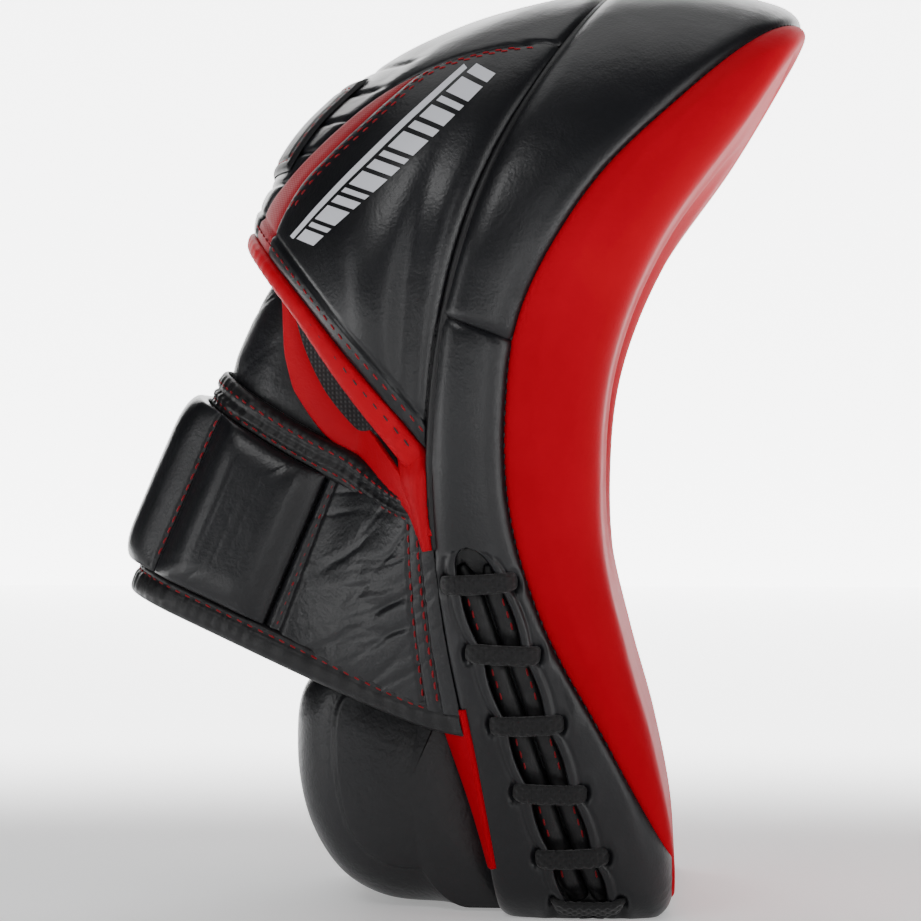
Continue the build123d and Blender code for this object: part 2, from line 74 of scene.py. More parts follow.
REAR = curve([(16.5, -6), (7.5, 47), (-1, 94), (-3.5, 135), (1, 177), (15, 222), (30, 250), (53, 286)])
FACE = curve([(66.5, -6), (67, 14), (61, 50), (53, 79), (46.5, 108), (45.6, 130), (49.2, 163), (63.8, 199),
              (87.5, 233), (119, 286)])
SEAM = curve([(76, -6), (66, 16), (47, 52), (29, 86), (19.5, 118), (18.3, 150), (22.5, 178), (33.6, 200),
              (47, 219), (68.3, 240.6), (100, 271), (118, 286)])
HOOD_BACK = curve([(-62, 110), (-66, 160), (-65.5, 190), (-60, 215), (-44, 240), (-17, 260), (12, 272),
                   (50, 281)])
FOOT = 11.0                             # radius of the outline's lower corners
HALF_WIDTH, CROWN_Z = 91, 189           # the pad's round top: its radius, and its centre's height
WAIST_RADIUS = 840                      # large arc that narrows the pad towards the wrist
ROUND_X, ROUND_IN = 13.0, 12.5          # front rounding, along X and in from the outline
OUTLINE_POINTS, LOOP_POINTS = 6000, 560
HALF_WAY = OUTLINE_POINTS // 2


def smooth(edge0, edge1, x):
    """Smooth step from 0 at edge0 to 1 at edge1."""
    t = np.clip((np.asarray(x, float) - edge0) / (edge1 - edge0), 0, 1)
    return t * t * (3 - 2 * t)


def half(z):
    """Half width of the pad at height z."""
    z = np.asarray(z, float)
    low = HALF_WIDTH - WAIST_RADIUS + np.sqrt(WAIST_RADIUS**2 - (CROWN_Z - np.minimum(z, CROWN_Z)) ** 2)
    foot = FOOT - np.sqrt(FOOT**2 - (FOOT - np.clip(z, 0, FOOT)) ** 2)
    crown = np.sqrt(np.maximum(HALF_WIDTH**2 - (z - CROWN_Z) ** 2, 0))
    return np.where(z >= CROWN_Z, crown, low - foot)


# ------------------------------------------------------------------ mesh helpers


def quads(nu, nv, wrap_u=False, wrap_v=False):
    """Quad faces of a grid of nu by nv points."""
    i, j = np.meshgrid(np.arange(nu if wrap_u else nu - 1), np.arange(nv if wrap_v else nv - 1),
                       indexing="ij")
    i2, j2 = (i + 1) % nu, (j + 1) % nv
    return np.stack([i * nv + j, i2 * nv + j, i2 * nv + j2, i * nv + j2], -1).reshape(-1, 4)


def normals(p, wrap_u=False, wrap_v=False):
    """Unit normals of a grid (nu, nv, 3)."""
    def diff(a, axis, wrap):
        if wrap:
            return np.roll(a, -1, axis) - np.roll(a, 1, axis)
        return np.gradient(a, axis=axis)
    n = np.cross(diff(p, 0, wrap_u), diff(p, 1, wrap_v))
    return n / np.maximum(np.linalg.norm(n, axis=-1, keepdims=True), 1e-9)


def face_out(mesh):
    """Turns a closed skin's faces outward."""
    shape = bmesh.new()
    shape.from_mesh(mesh)
    if all(e.is_manifold for e in shape.edges) and shape.calc_volume(signed=True) < 0:
        bmesh.ops.reverse_faces(shape, faces=shape.faces[:])
        shape.to_mesh(mesh)
    shape.free()


def make(name, points, faces, material, nodes=(), body="mitt", smooth_levels=0, thick=0.0,
         merge=0.0, stage=False, bend=None):
    """One mesh object from millimetre points; bend, (body, next body, start, end) across a joint, is only
    tested for being given: then the mesh is baked in place and left on no body.
    """
    mesh = bpy.data.meshes.new(name)
    pts = (np.asarray(points, float).reshape(-1, 3) * MM)
    mesh.from_pydata(pts.tolist(), [], np.asarray(faces).tolist() if not isinstance(faces, list) else faces)
    mesh.update()
    face_out(mesh)
    mesh.polygons.foreach_set("use_smooth", [True] * len(mesh.polygons))
    mesh.materials.append(material)
    obj = bpy.data.objects.new(name, mesh)
    bpy.context.scene.collection.objects.link(obj)
    if merge:
        weld = obj.modifiers.new("weld", "WELD")
        weld.merge_threshold = merge * MM
    if thick:
        solid = obj.modifiers.new("thickness", "SOLIDIFY")
        solid.thickness = thick * MM
        solid.offset = -1
    if smooth_levels:
        sub = obj.modifiers.new("rounding", "SUBSURF")
        sub.levels = sub.render_levels = smooth_levels
    if stage:
        return obj
    if bend:
        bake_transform(obj)
    else:
        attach(obj, body)
    if nodes:
        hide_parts(*nodes)
    return obj


def sweep(path, normal, section, scale=None):
    """Skin of a section (m, 2) carried along a path: x across (normal x tangent), y along the normal."""
    path, normal = np.asarray(path, float), np.asarray(normal, float)
    tangent = np.gradient(path, axis=0)
    tangent /= np.maximum(np.linalg.norm(tangent, axis=1, keepdims=True), 1e-9)
    across = np.cross(normal, tangent)
    across /= np.maximum(np.linalg.norm(across, axis=1, keepdims=True), 1e-9)
    up = np.cross(tangent, across)
    size = np.ones(len(path)) if scale is None else np.asarray(scale, float)
    if section.ndim == 2:
        section = np.repeat(section[None], len(path), 0)
    shape = across[:, None] * section[..., :1] + up[:, None] * section[..., 1:2]
    p = path[:, None] + size[:, None, None] * shape
    faces = [list(map(int, f)) for f in quads(len(path), p.shape[1], wrap_v=True)]
    m = p.shape[1]
    faces.append(list(range(m)))
    faces.append([(len(path) - 1) * m + k for k in range(m - 1, -1, -1)])
    return p, faces


def loop(a, b, power=2.0, count=24):
    """Superellipse section, a across and b high."""
    t = np.linspace(0, 2 * np.pi, count, endpoint=False)
    c, s = np.cos(t), np.sin(t)
    return np.stack([a * np.sign(c) * np.abs(c) ** (2 / power), b * np.sign(s) * np.abs(s) ** (2 / power)],
                    -1)


def resample(path, step=None, count=None, extra=()):
    """Even points along a path, with any extra rows that go with it."""
    path = np.asarray(path, float)
    d = np.r_[0, np.cumsum(np.linalg.norm(np.diff(path, axis=0), axis=1))]
    n = count or max(int(round(d[-1] / step)), 2)
    q = np.linspace(0, d[-1], n)
    out = [np.stack([np.interp(q, d, a[:, k]) for k in range(a.shape[1])], -1) for a in (path, *extra)]
    return out[0] if not extra else out


def stitch(name, path, normal, material, body="mitt", length=2.7, gap=1.0, radius=0.36, lift=0.12, slot=None):
    """A row of thread stitches along a path on a surface."""
    path, normal = np.asarray(path, float), np.asarray(normal, float)
    d = np.r_[0, np.cumsum(np.linalg.norm(np.diff(path, axis=0), axis=1))]
    count = int(d[-1] // (length + gap))
    if count < 1:
        return None
    t = np.linspace(-1, 1, 7)
    ring = np.linspace(0, 2 * np.pi, 6, endpoint=False)
    thick = 0.86 * radius * np.sqrt(np.maximum(1 - t**4, 0.02))
    points, faces = [], []
    base = quads(len(t), len(ring), wrap_v=True)
    for k in range(count):
        mid = (k + 0.5) * (length + gap)
        q = mid + t * length / 2
        p = np.stack([np.interp(q, d, path[:, a]) for a in range(3)], -1)
        n = np.stack([np.interp(q, d, normal[:, a]) for a in range(3)], -1)
        n /= np.linalg.norm(n, axis=1, keepdims=True)
        g = np.gradient(p, axis=0)
        g /= np.linalg.norm(g, axis=1, keepdims=True)
        side = np.cross(g, n)
        p = p + n * (lift - 0.75 * radius * t[:, None] ** 4 - 0.1) + side * (0.12 * t[:, None])
        shape = p[:, None] + thick[:, None, None] * (side[:, None] * np.cos(ring)[None, :, None]
                                                    + n[:, None] * np.sin(ring)[None, :, None])
        faces.append(base + len(t) * len(ring) * k)
        points.append(shape.reshape(-1, 3))
    return make(name, np.concatenate(points), np.concatenate(faces), material, body=body)


# ------------------------------------------------------------------ materials


def shader(name, color, rough, specular=0.5, sheen=0.0):
    """New material, with its tree and its Principled node."""
    material = bpy.data.materials.new(name)
    material.use_nodes = True
    tree = material.node_tree
    out = tree.nodes["Principled BSDF"]
    out.inputs["Base Color"].default_value = (*color, 1)
    out.inputs["Roughness"].default_value = rough
    out.inputs["Specular IOR Level"].default_value = specular
    out.inputs["Sheen Weight"].default_value = sheen
    out.inputs["Sheen Roughness"].default_value = 0.5
    return material, tree, out


def link(tree, a, b):
    """Joins one socket to another."""
    tree.links.new(a, b)


def node(tree, kind, **values):
    """New node with its inputs and settings filled in."""
    item = tree.nodes.new(kind)
    for key, value in values.items():
        if key in item.inputs:
            item.inputs[key].default_value = value
        else:
            setattr(item, key, value)
    return item


def leather(name, dark, light, rough, grain=1000.0, strength=0.35, depth=0.00012, wrinkle=0.25, specular=0.5):
    """Grained leather: pebble cells, pores, soft creases and a slightly uneven colour."""
    material, tree, out = shader(name, dark, rough, specular)
    where = node(tree, "ShaderNodeTexCoord")
    place = where.outputs["Object"]
    warp = node(tree, "ShaderNodeTexNoise", Scale=260.0, Detail=2.0)
    link(tree, place, warp.inputs["Vector"])
    mixed = node(tree, "ShaderNodeMixRGB", blend_type="LINEAR_LIGHT")
    mixed.inputs["Fac"].default_value = 0.0012
    link(tree, place, mixed.inputs["Color1"])
    link(tree, warp.outputs["Color"], mixed.inputs["Color2"])
    cells = node(tree, "ShaderNodeTexVoronoi", feature="SMOOTH_F1", Scale=grain, Smoothness=0.5)
    link(tree, mixed.outputs["Color"], cells.inputs["Vector"])
    pores = node(tree, "ShaderNodeTexNoise", Scale=grain * 2.2, Detail=3.0)
    link(tree, place, pores.inputs["Vector"])
    crease = node(tree, "ShaderNodeTexNoise", Scale=60.0, Detail=5.0, Roughness=0.6, Distortion=0.4)
    link(tree, place, crease.inputs["Vector"])
    first = node(tree, "ShaderNodeBump", Strength=strength, Distance=depth)
    link(tree, cells.outputs["Distance"], first.inputs["Height"])
    second = node(tree, "ShaderNodeBump", Strength=strength * 0.6, Distance=depth * 0.5)
    link(tree, pores.outputs["Fac"], second.inputs["Height"])
    link(tree, first.outputs["Normal"], second.inputs["Normal"])
    third = node(tree, "ShaderNodeBump", Strength=wrinkle, Distance=0.0012)
    link(tree, crease.outputs["Fac"], third.inputs["Height"])
    link(tree, second.outputs["Normal"], third.inputs["Normal"])
    link(tree, third.outputs["Normal"], out.inputs["Normal"])
    tone = node(tree, "ShaderNodeTexNoise", Scale=22.0, Detail=4.0)
    link(tree, place, tone.inputs["Vector"])
    ramp = node(tree, "ShaderNodeValToRGB")
    ramp.color_ramp.elements[0].position, ramp.color_ramp.elements[1].position = 0.35, 0.7
    ramp.color_ramp.elements[0].color, ramp.color_ramp.elements[1].color = (*dark, 1), (*light, 1)
    link(tree, tone.outputs["Fac"], ramp.inputs["Fac"])
    link(tree, ramp.outputs["Color"], out.inputs["Base Color"])
    shine = node(tree, "ShaderNodeMapRange")
    shine.inputs["To Min"].default_value, shine.inputs["To Max"].default_value = rough - 0.05, rough + 0.08
    link(tree, crease.outputs["Fac"], shine.inputs["Value"])
    link(tree, shine.outputs["Result"], out.inputs["Roughness"])
    return material


def cloth(name, color, scale=900.0, rough=0.85, bump=0.5, spread=0.5):
    """Woven or knitted cloth from two crossed waves."""
    material, tree, out = shader(name, color, rough, specular=0.25, sheen=0.2)
    where = node(tree, "ShaderNodeTexCoord")
    waves = []
    for axis in ("X", "Z"):
        wave = node(tree, "ShaderNodeTexWave", Scale=scale / 3, bands_direction=axis)
        link(tree, where.outputs["Object"], wave.inputs["Vector"])
        waves.append(wave)
    both = node(tree, "ShaderNodeMath", operation="MULTIPLY")
    link(tree, waves[0].outputs["Fac"], both.inputs[0])
    link(tree, waves[1].outputs["Fac"], both.inputs[1])
    rise = node(tree, "ShaderNodeBump", Strength=bump, Distance=0.0003)
    link(tree, both.outputs["Value"], rise.inputs["Height"])
    link(tree, rise.outputs["Normal"], out.inputs["Normal"])
    ramp = node(tree, "ShaderNodeValToRGB")
    ramp.color_ramp.elements[0].color = (*[c * spread for c in color], 1)
    ramp.color_ramp.elements[1].color = (*color, 1)
    link(tree, both.outputs["Value"], ramp.inputs["Fac"])
    link(tree, ramp.outputs["Color"], out.inputs["Base Color"])
    return material


BLACK = leather("black cowhide", (0.0058, 0.006, 0.0074), (0.0088, 0.0092, 0.0112), 0.32, grain=1050,
                strength=0.3, specular=0.42)
BLACK_SOFT = leather("black cowhide, supple", (0.0062, 0.0065, 0.008), (0.0095, 0.0099, 0.012), 0.36,
                     grain=900, strength=0.5, wrinkle=0.55, specular=0.48)
BLACK_EDGE = leather("black rolled edge", (0.006, 0.006, 0.007), (0.0095, 0.0095, 0.0105), 0.44, grain=1400,
                     wrinkle=0.4, specular=0.4)
RED = leather("red cowhide", (0.43, 0.0006, 0.010), (0.49, 0.001, 0.012), 0.56, grain=1150, strength=0.25,
              specular=0.03)
RED_EDGE = leather("red binding leather", (0.44, 0.0008, 0.010), (0.52, 0.0015, 0.013), 0.5, grain=1300,
                   wrinkle=0.3, specular=0.1)
RED_STRETCH = cloth("red stretch", (0.34, 0.001, 0.009), scale=1500, rough=0.6, bump=0.3, spread=0.8)
LINING = cloth("black mesh lining", (0.022, 0.022, 0.024), scale=700, bump=0.9, spread=0.3)
BRAID = cloth("black braid", (0.013, 0.013, 0.014), scale=2600, rough=0.62, bump=0.4, spread=0.6)
LOOP = cloth("loop tape", (0.016, 0.016, 0.017), scale=2200, rough=0.95, bump=1.0, spread=0.3)
RED_THREAD = shader("red thread", (0.27, 0.003, 0.009), 0.6, 0.3)[0]
BLACK_THREAD = shader("black thread", (0.012, 0.012, 0.013), 0.6)[0]
PRINT = shader("pale print", (0.62, 0.63, 0.68), 0.45)[0]

# ------------------------------------------------------------------ pad: outline and profile


def outline(count):
    """Points (y, z) and outward normals round the pad, from the base's middle up the right side and over."""
    t = np.linspace(0, np.pi / 2, 30)
    foot_z = FOOT * (1 - np.cos(t))
    rise = np.linspace(FOOT, CROWN_Z, 200)[1:]
    zs = np.r_[foot_z, rise]
    right = np.stack([-half(zs), zs], -1)
    turn = np.linspace(np.pi, np.pi / 2, 160)[1:]
    top = np.stack([HALF_WIDTH * np.cos(turn), CROWN_Z + HALF_WIDTH * np.sin(turn)], -1)
    bottom = np.stack([np.linspace(0, right[0, 0], 40)[:-1], np.zeros(39)], -1)
    one = np.concatenate([bottom, right, top])
    other = one[::-1][1:] * [-1, 1]
    path = np.concatenate([one, other])
    fine = resample(path, count=OUTLINE_POINTS)
    g = np.gradient(fine, axis=0)
    g[0], g[-1] = (-1, 0), (-1, 0)
    n = np.stack([-g[:, 1], g[:, 0]], -1)
    n /= np.linalg.norm(n, axis=1, keepdims=True)
    a, b = resample(fine, count=count, extra=(n,))
    return a, b / np.linalg.norm(b, axis=1, keepdims=True)


full, full_n = outline(OUTLINE_POINTS)
side_n = full_n if full_n[HALF_WAY, 1] > 0 else -full_n


def side_puff(a, b):
    """Rounding of the side leather, a from the rear groove and b from the strike seam."""
    whole = np.maximum(a + b, 1e-3)
    round_off = (4 * a * b / whole**2) ** 0.8
    puff = 0.5 * np.minimum(a, b).clip(0, 6) / 6 + 2.0 * round_off
    return puff - 1.6 * np.exp(-a / 1.5) - 1.4 * np.exp(-b / 1.1)


def profile(p, n, along, kind):
    """Pad surface for outline points (k, 2), normals (k, 2) and fractions along each band.

    kind black: rear groove to seam; red: seam to the end of the front rounding.
    """
    y0, z0 = p[:, 0], p[:, 1]
    up, down = np.maximum(n[:, 1], 0) ** 2, np.maximum(-n[:, 1], 0) ** 2
    xr, xf = REAR(z0), FACE(z0)
    rx, rd = ROUND_X + 4 * up - 5 * down, ROUND_IN - 4.0 * up - 6 * down
    side = xf - rx - xr
    arc = np.pi / 4 * (rx + rd)
    seam = SEAM(z0)
    turn = np.arcsin(np.clip((seam - (xf - rx)) / rx, 0, 0.93))
    lseam = np.where(seam < xf - rx, seam - xr, side + arc * turn / (np.pi / 2))
    total = side + arc
    t = np.asarray(along, float)[None, :]
    if kind == "black":
        length = lseam[:, None] * t
        a, b = length, lseam[:, None] - length
        puff = side_puff(a, b)
    else:
        length = lseam[:, None] + (total - lseam)[:, None] * t
        a, b = length - lseam[:, None], total[:, None] - length
        puff = (1.9 * np.minimum(a, 9.0) / 9) * smooth(0, 14, b) - 1.5 * np.exp(-a / 1.1)
    phi = np.clip((length - side[:, None]) / arc[:, None], 0, 1) * np.pi / 2
    d = rd[:, None] * (1 - np.cos(phi)) - puff * np.cos(phi)
    x = np.where(length < side[:, None], xr[:, None] + length,
                 xf[:, None] - rx[:, None] + rx[:, None] * np.sin(phi))
    x = x + puff * np.sin(phi)
    d = d + 0.0024 * np.maximum(x - 48, 0) ** 2 * up[:, None]
    z = z0[:, None] - n[:, 1:] * d
    y = y0[:, None] - n[:, :1] * d
    q = phi / (np.pi / 2)
    x = x + (FACE(z) - xf[:, None]) * q
    return np.stack([x, y, z], -1)


def spread(count):
    """Fractions 0..1, closer together at both ends."""
    t = np.linspace(0, 1, count)
    return 0.35 * t + 0.65 * (0.5 - 0.5 * np.cos(np.pi * t))


DISH_Z = 168.0                          # middle of the dish and of the target
TARGET_R, TARGET_STITCH_R = 39.2, 35.4


def face_x(y, z):
    """Strike face with its dish."""
    q = np.sqrt((y / 52) ** 2 + ((z - DISH_Z) / 60) ** 2)
    return FACE(z) - 8.5 * (1 - smooth(0.62, 1.1, q)) + 0.9 * np.exp(-((q - 1.12) / 0.1) ** 2)


loop_p, loop_n = outline(LOOP_POINTS)
loop_p, loop_n = loop_p[:-1], loop_n[:-1]
if loop_n[LOOP_POINTS // 2, 1] < 0:
    loop_n = -loop_n
red_rings = profile(loop_p, loop_n, spread(34), "red")
edge = red_rings[:, -1]
core = np.stack([np.zeros(len(edge)), np.clip(edge[:, 2], 78, 192)], -1)
r = np.linspace(0, 1, 62)[1:]
yz = edge[:, None, 1:] * (1 - r)[None, :, None] + core[:, None] * r[None, :, None]
inner = np.stack([face_x(yz[..., 0], yz[..., 1]), yz[..., 0], yz[..., 1]], -1)
settle = smooth(0, 6, np.linalg.norm(yz - edge[:, None, 1:], axis=-1))
inner[..., 0] += (1 - settle) * (edge[:, 0] - face_x(edge[:, 1], edge[:, 2]))[:, None]
strike = np.concatenate([red_rings, inner], 1)
make("strike_face", strike, quads(*strike.shape[:2], wrap_u=True), RED,
     nodes=("strike_cover", "gel_sheet", "impact_foam", "backing_foam"), merge=0.02)

# Target panel: a round piece sewn into the dish.
ang, rad = np.meshgrid(np.linspace(0, 2 * np.pi, 160, endpoint=False),
                       np.r_[np.linspace(0.5, 37, 40), 38.2, 38.9, TARGET_R], indexing="ij")
ty, tz = rad * np.cos(ang), DISH_Z + rad * np.sin(ang) * 1.02
lift = 1.2 - 1.3 * np.exp(-(TARGET_R - rad) / 0.8) - 0.9 * np.exp(-((rad - TARGET_STITCH_R) / 0.7) ** 2)
target = np.stack([face_x(ty, tz) + lift, ty, tz], -1)
make("target", target, quads(*target.shape[:2], wrap_u=True), RED, nodes=("target_panel",))
ring = np.linspace(0, 2 * np.pi, 400)
ry, rz = TARGET_STITCH_R * np.cos(ring), DISH_Z + TARGET_STITCH_R * np.sin(ring) * 1.02
stitch("target_stitches", np.stack([face_x(ry, rz) + 0.5, ry, rz], -1),
       np.stack([np.ones(400), 0 * ring, 0 * ring], -1), BLACK_THREAD)

# Rear of the pad, seen inside the hand compartment.
rear_edge = np.stack([REAR(loop_p[:, 1]) + 1.2, *(loop_p - loop_n * 2.2).T], -1)
r = np.r_[0, 0.012, 0.03, np.linspace(0.06, 1, 30)]
yz = rear_edge[:, None, 1:] * (1 - r)[None, :, None] + core[:, None] * r[None, :, None]
depth = np.linalg.norm(yz - rear_edge[:, None, 1:], axis=-1)
rear = np.stack([REAR(yz[..., 1]) + 1.2 * np.exp(-depth / 1.0), yz[..., 0], yz[..., 1]], -1)
make("pad_rear", rear, quads(*rear.shape[:2], wrap_u=True)[:, ::-1], BLACK_SOFT, nodes=("palm_side_panel",),
     merge=0.02)

# ------------------------------------------------------------------ pad: side leather

CROSS_Z, CROSS_SLOPE = 171.5, -0.37     # cross seam: height at the outline, and slope towards the front
SIDE_FROM, BASE_HALF = 54.0, 54.6       # where the side leather begins and the base leather ends


def shear(p, amount):
    """Slopes the rows next to the cross seam, so that it runs down towards the front."""
    out = p.copy()
    out[..., 2] += amount * CROSS_SLOPE * (p[..., 0] - 11.5)
    return out


def seam_dip(mm, depth=1.3, wide=1.2):
    """Depth of a seam, mm away from it."""
    return depth * np.exp(-np.asarray(mm) / wide)


# Fingertip piece: right cross seam, over the top, to the left one.
near = np.flatnonzero(full[:, 1] >= CROSS_Z)
crown_path, crown_n = full[near[0]:near[-1] + 1], side_n[near[0]:near[-1] + 1]
crown_path, crown_n = resample(crown_path, count=430, extra=(crown_n,))
crown_len = np.r_[0, np.cumsum(np.linalg.norm(np.diff(crown_path, axis=0), axis=1))]
to_end = np.minimum(crown_len, crown_len[-1] - crown_len)
crown = profile(crown_path, crown_n, spread(34), "black")
crown[..., 1:] -= crown_n[:, None] * seam_dip(to_end)[:, None, None]
crown = shear(crown, (np.exp(-to_end / 14))[:, None])
make("fingertip_side", crown, quads(*crown.shape[:2])[:, ::-1], BLACK, nodes=("fingertip_side_panel",))


# Lacing: heights of its crossings, down a line that leans forward.
CROSSINGS = [98.9, 78.5, 58.0, 38.0, 19.0, 5.2]
HOLE_OUT = 10.2                         # lace holes, out from the middle line
GAP_HALF, CAP_Z, CAP_HIGH = 6.3, 100, 9.2   # the window's half width, and its rounded top


def lace_x(z):
    """Middle line of the lacing."""
    return 10.6 + 0.331 * (CROSSINGS[0] - z)


def window(z):
    """Half gap between the two edges that the lace pulls together."""
    z = np.asarray(z, float)
    cell = np.zeros_like(z)
    for a, b in zip(CROSSINGS[:-1], CROSSINGS[1:]):
        cell += np.where((z < a) & (z > b), np.sin(np.pi * np.clip((a - z) / (a - b), 0, 1)), 0)
    gap = GAP_HALF + 1.3 * cell
    cap = GAP_HALF * np.sqrt(np.clip(1 - ((z - CAP_Z) / CAP_HIGH) ** 2, 0, 1))
    return np.where(z > CAP_Z, cap, gap * smooth(0.5, 4.5, z))


def flank(z, x, depth, side):
    """Point depth mm under the side leather, with its outward normal. side -1 right, +1 left."""
    z, x, depth = np.broadcast_arrays(np.asarray(z, float), np.asarray(x, float), np.asarray(depth, float))
    e = 0.5     # step over which the outline's slope is taken
    slope = (half(z + e) - half(np.maximum(z - e, 0))) / (e + np.minimum(z, e))
    n = np.stack([0 * z, np.ones_like(z), -slope], -1)
    n /= np.linalg.norm(n, axis=-1, keepdims=True)
    p = np.stack([x, half(z), z], -1) - n * depth[..., None]
    p[..., 1] *= side
    n = n * [1, side, 1]
    return p, n


low_rows = np.flatnonzero((full[:HALF_WAY, 1] < CROSS_Z) & (np.abs(full[:HALF_WAY, 0]) > SIDE_FROM))
low_path, low_n = resample(full[low_rows], count=330, extra=(side_n[low_rows],))
low_n /= np.linalg.norm(low_n, axis=1, keepdims=True)
low_len = np.r_[0, np.cumsum(np.linalg.norm(np.diff(low_path, axis=0), axis=1))]


def band_point(index, x, lift=0.0):
    """Side-band surface at given rows, for x positions (rows, cols), with the puffing of the whole band."""
    p, n = low_path[index], low_n[index]
    y0, z0 = p[:, 0], p[:, 1]
    down = np.maximum(-n[:, 1], 0) ** 2
    xf, xr = FACE(z0), REAR(z0)
    rx, rd = ROUND_X - 5 * down, ROUND_IN - 6 * down
    start = xf - rx
    seam = np.minimum(SEAM(z0), start + rx * 0.93)
    a, b = np.maximum(x - xr[:, None], 0), np.maximum(seam[:, None] - x, 0)
    puff = side_puff(a, b) + lift
    ratio = np.clip((x - start[:, None]) / rx[:, None], 0, 0.999)
    d = rd[:, None] * (1 - np.sqrt(1 - ratio**2)) - puff
    return np.stack([x, y0[:, None] - n[:, :1] * d, z0[:, None] - n[:, 1:] * d], -1)


def lace_dimples(x, z):
    """Puckers round each lace hole, and the edges lifting between them."""
    out = np.zeros(np.broadcast(x, z).shape)
    for cz in CROSSINGS:
        for sign in (-1, 1):
            cx = lace_x(cz) + sign * HOLE_OUT
            d2 = ((x - cx) / 1.7) ** 2 + ((z - cz) / 2.9) ** 2
            ridge = ((x - cx - sign * 1.2) / 3.2) ** 2 + ((z - cz) / 5.0) ** 2
            out += -3.0 * np.exp(-d2) + 0.9 * np.exp(-ridge)
    gap = np.abs(x - lace_x(z)) - window(z)
    out = out - 0.5 * np.exp(-((gap - 2.6) / 0.6) ** 2) * (z < 106) * (z > 0)
    return out + 0.35 * np.exp(-((gap - 1.1) / 1.0) ** 2) * (z < 108)


rows = np.arange(len(low_path))
zrow = low_path[:, 1]
xr_row, gap_row, mid_row = REAR(zrow), window(zrow), lace_x(zrow)
down_row = np.maximum(-low_n[:, 1], 0) ** 2
seam_row = np.minimum(SEAM(zrow), FACE(zrow) - (ROUND_X - 5 * down_row) * 0.07)
open_row = zrow < CAP_Z + CAP_HIGH
for side, word in ((-1, "right"), (1, "left")):
    left_t, right_t = spread(30), spread(34)
    x_left = xr_row[:, None] + (mid_row - gap_row - xr_row)[:, None] * left_t
    x_right = (mid_row + gap_row)[:, None] + (seam_row - mid_row - gap_row)[:, None] * right_t
    parts = []
    for x, at_end in ((x_left, True), (x_right, False)):
        p = band_point(rows, x, lace_dimples(x, zrow[:, None]))
        n = np.concatenate([np.zeros((len(rows), 1)), low_n], 1)
        rim_at = p[:, -1] if at_end else p[:, 0]
        sign = 1.0 if at_end else -1.0
        curl = []
        for dx, dn in ((0.5, 0.25), (0.75, 0.9), (0.5, 1.7), (-0.6, 2.1), (-2.2, 2.2)):
            c = rim_at - n * dn
            c[:, 0] += sign * dx
            curl.append(c)
        curl = np.stack(curl, 1)
        curl[~open_row] = rim_at[~open_row][:, None]
        grid = np.concatenate([p, curl], 1) if at_end else np.concatenate([curl[:, ::-1], p], 1)
        grid = grid - n[:, None] * seam_dip(low_len[-1] - low_len)[:, None, None]
        grid = shear(grid, np.exp(-(low_len[-1] - low_len) / 14)[:, None])
        grid[..., 1] *= -side
        f = quads(*grid.shape[:2])
        parts.append((grid.reshape(-1, 3), f if side > 0 else f[:, ::-1]))
    points = np.concatenate([parts[0][0], parts[1][0]])
    faces = np.concatenate([parts[0][1], parts[1][1] + len(parts[0][0])])
    make(f"{word}_laced_side", points, faces, BLACK, nodes=(f"{word}_laced_side_panel",),
         merge=0.03)

    # Tongue and the two rolled stays inside the window.
    zs = np.linspace(109, 0.6, 150)
    offsets = np.linspace(-9.5, 9.5, 24)
    deep_y = half(np.maximum(zs, FOOT)) - 6.6
    grid = np.stack([lace_x(zs)[:, None] + offsets, np.broadcast_to(side * deep_y[:, None], (150, 24)),
                     np.broadcast_to(zs[:, None], (150, 24))], -1)
    make(f"{word}_tongue", grid, quads(*grid.shape[:2]), BLACK_SOFT, nodes=(f"{word}_lace_tongue",),
         thick=1.0)
    zs = np.linspace(103.5, 3.0, 190)
    press = sum(np.exp(-((zs - c) / 3.2) ** 2) for c in CROSSINGS)
    fade = smooth(104.5, 97, zs)
    for sign in (-1, 1):
        center, normal = flank(zs, lace_x(zs) + sign * (3.55 + 0.25 * (1 - press)), 4.3 + 0.9 * press, side)
        section = loop(3.35, 3.3, 2.3, 22)
        skin, f = sweep(center, normal, section, scale=0.35 + 0.65 * fade)
        skin = skin + 0.12 * np.sin(skin[..., 2:3] * 0.9 + sign) * normal[:, None]
        make(f"{word}_roll_{'rear' if sign < 0 else 'front'}", skin, f, BLACK_EDGE,
             nodes=(f"{word}_lace_rolls",))
        for a, b in zip(CROSSINGS[:-1], CROSSINGS[1:]):
            zz = np.linspace(a - 4.2, b + 4.0, 30)
            row, rn = flank(zz, lace_x(zz) + sign * 5.0, 1.5 + 0 * zz, side)
            stitch(f"{word}_roll_stitches", row, rn, RED_THREAD, length=2.5, gap=1.2, radius=0.34, lift=0.5)

    # Flat braided lace over the stays, in at both ends.
    for k, cz in enumerate(CROSSINGS):
        tilt_z = (0.6, -0.5, 0.4, -0.3, 0.5, 0.0)[k]
        t = np.linspace(-1, 1, 90)
        x = lace_x(cz) + 10.6 * t
        rise = 3.1 * (1 - np.abs(t) ** 5) ** 0.5 - 2.6 * (np.abs(t) ** 9) - 0.2
        zline = cz + tilt_z * t - 0.25 * (1 - t**2)
        line, n = flank(zline, x, -rise, side)
        if cz < 8:
            n = n + np.array([0, 0, -0.25])
            n /= np.linalg.norm(n, axis=1, keepdims=True)
        section = loop(2.9, 1.15, 3.0, 44)
        skin, f = sweep(line, n, section, scale=1 - 0.25 * np.abs(t) ** 8)
        u = np.broadcast_to(x[:, None] / 1.35, skin.shape[:2])
        v = np.broadcast_to(section[None, :, 0] / 1.25, skin.shape[:2])
        braid = np.maximum(np.abs(np.sin(np.pi / 2 * (u + v))), np.abs(np.sin(np.pi / 2 * (u - v))))
        top = np.sign(section[:, 1])[None, :, None]
        skin = skin + n[:, None] * top * ((braid - 0.75) * 0.55)[..., None]
        make(f"{word}_lace_{k + 1}", skin, f, BRAID, nodes=(f"{word}_lace",), smooth_levels=1)

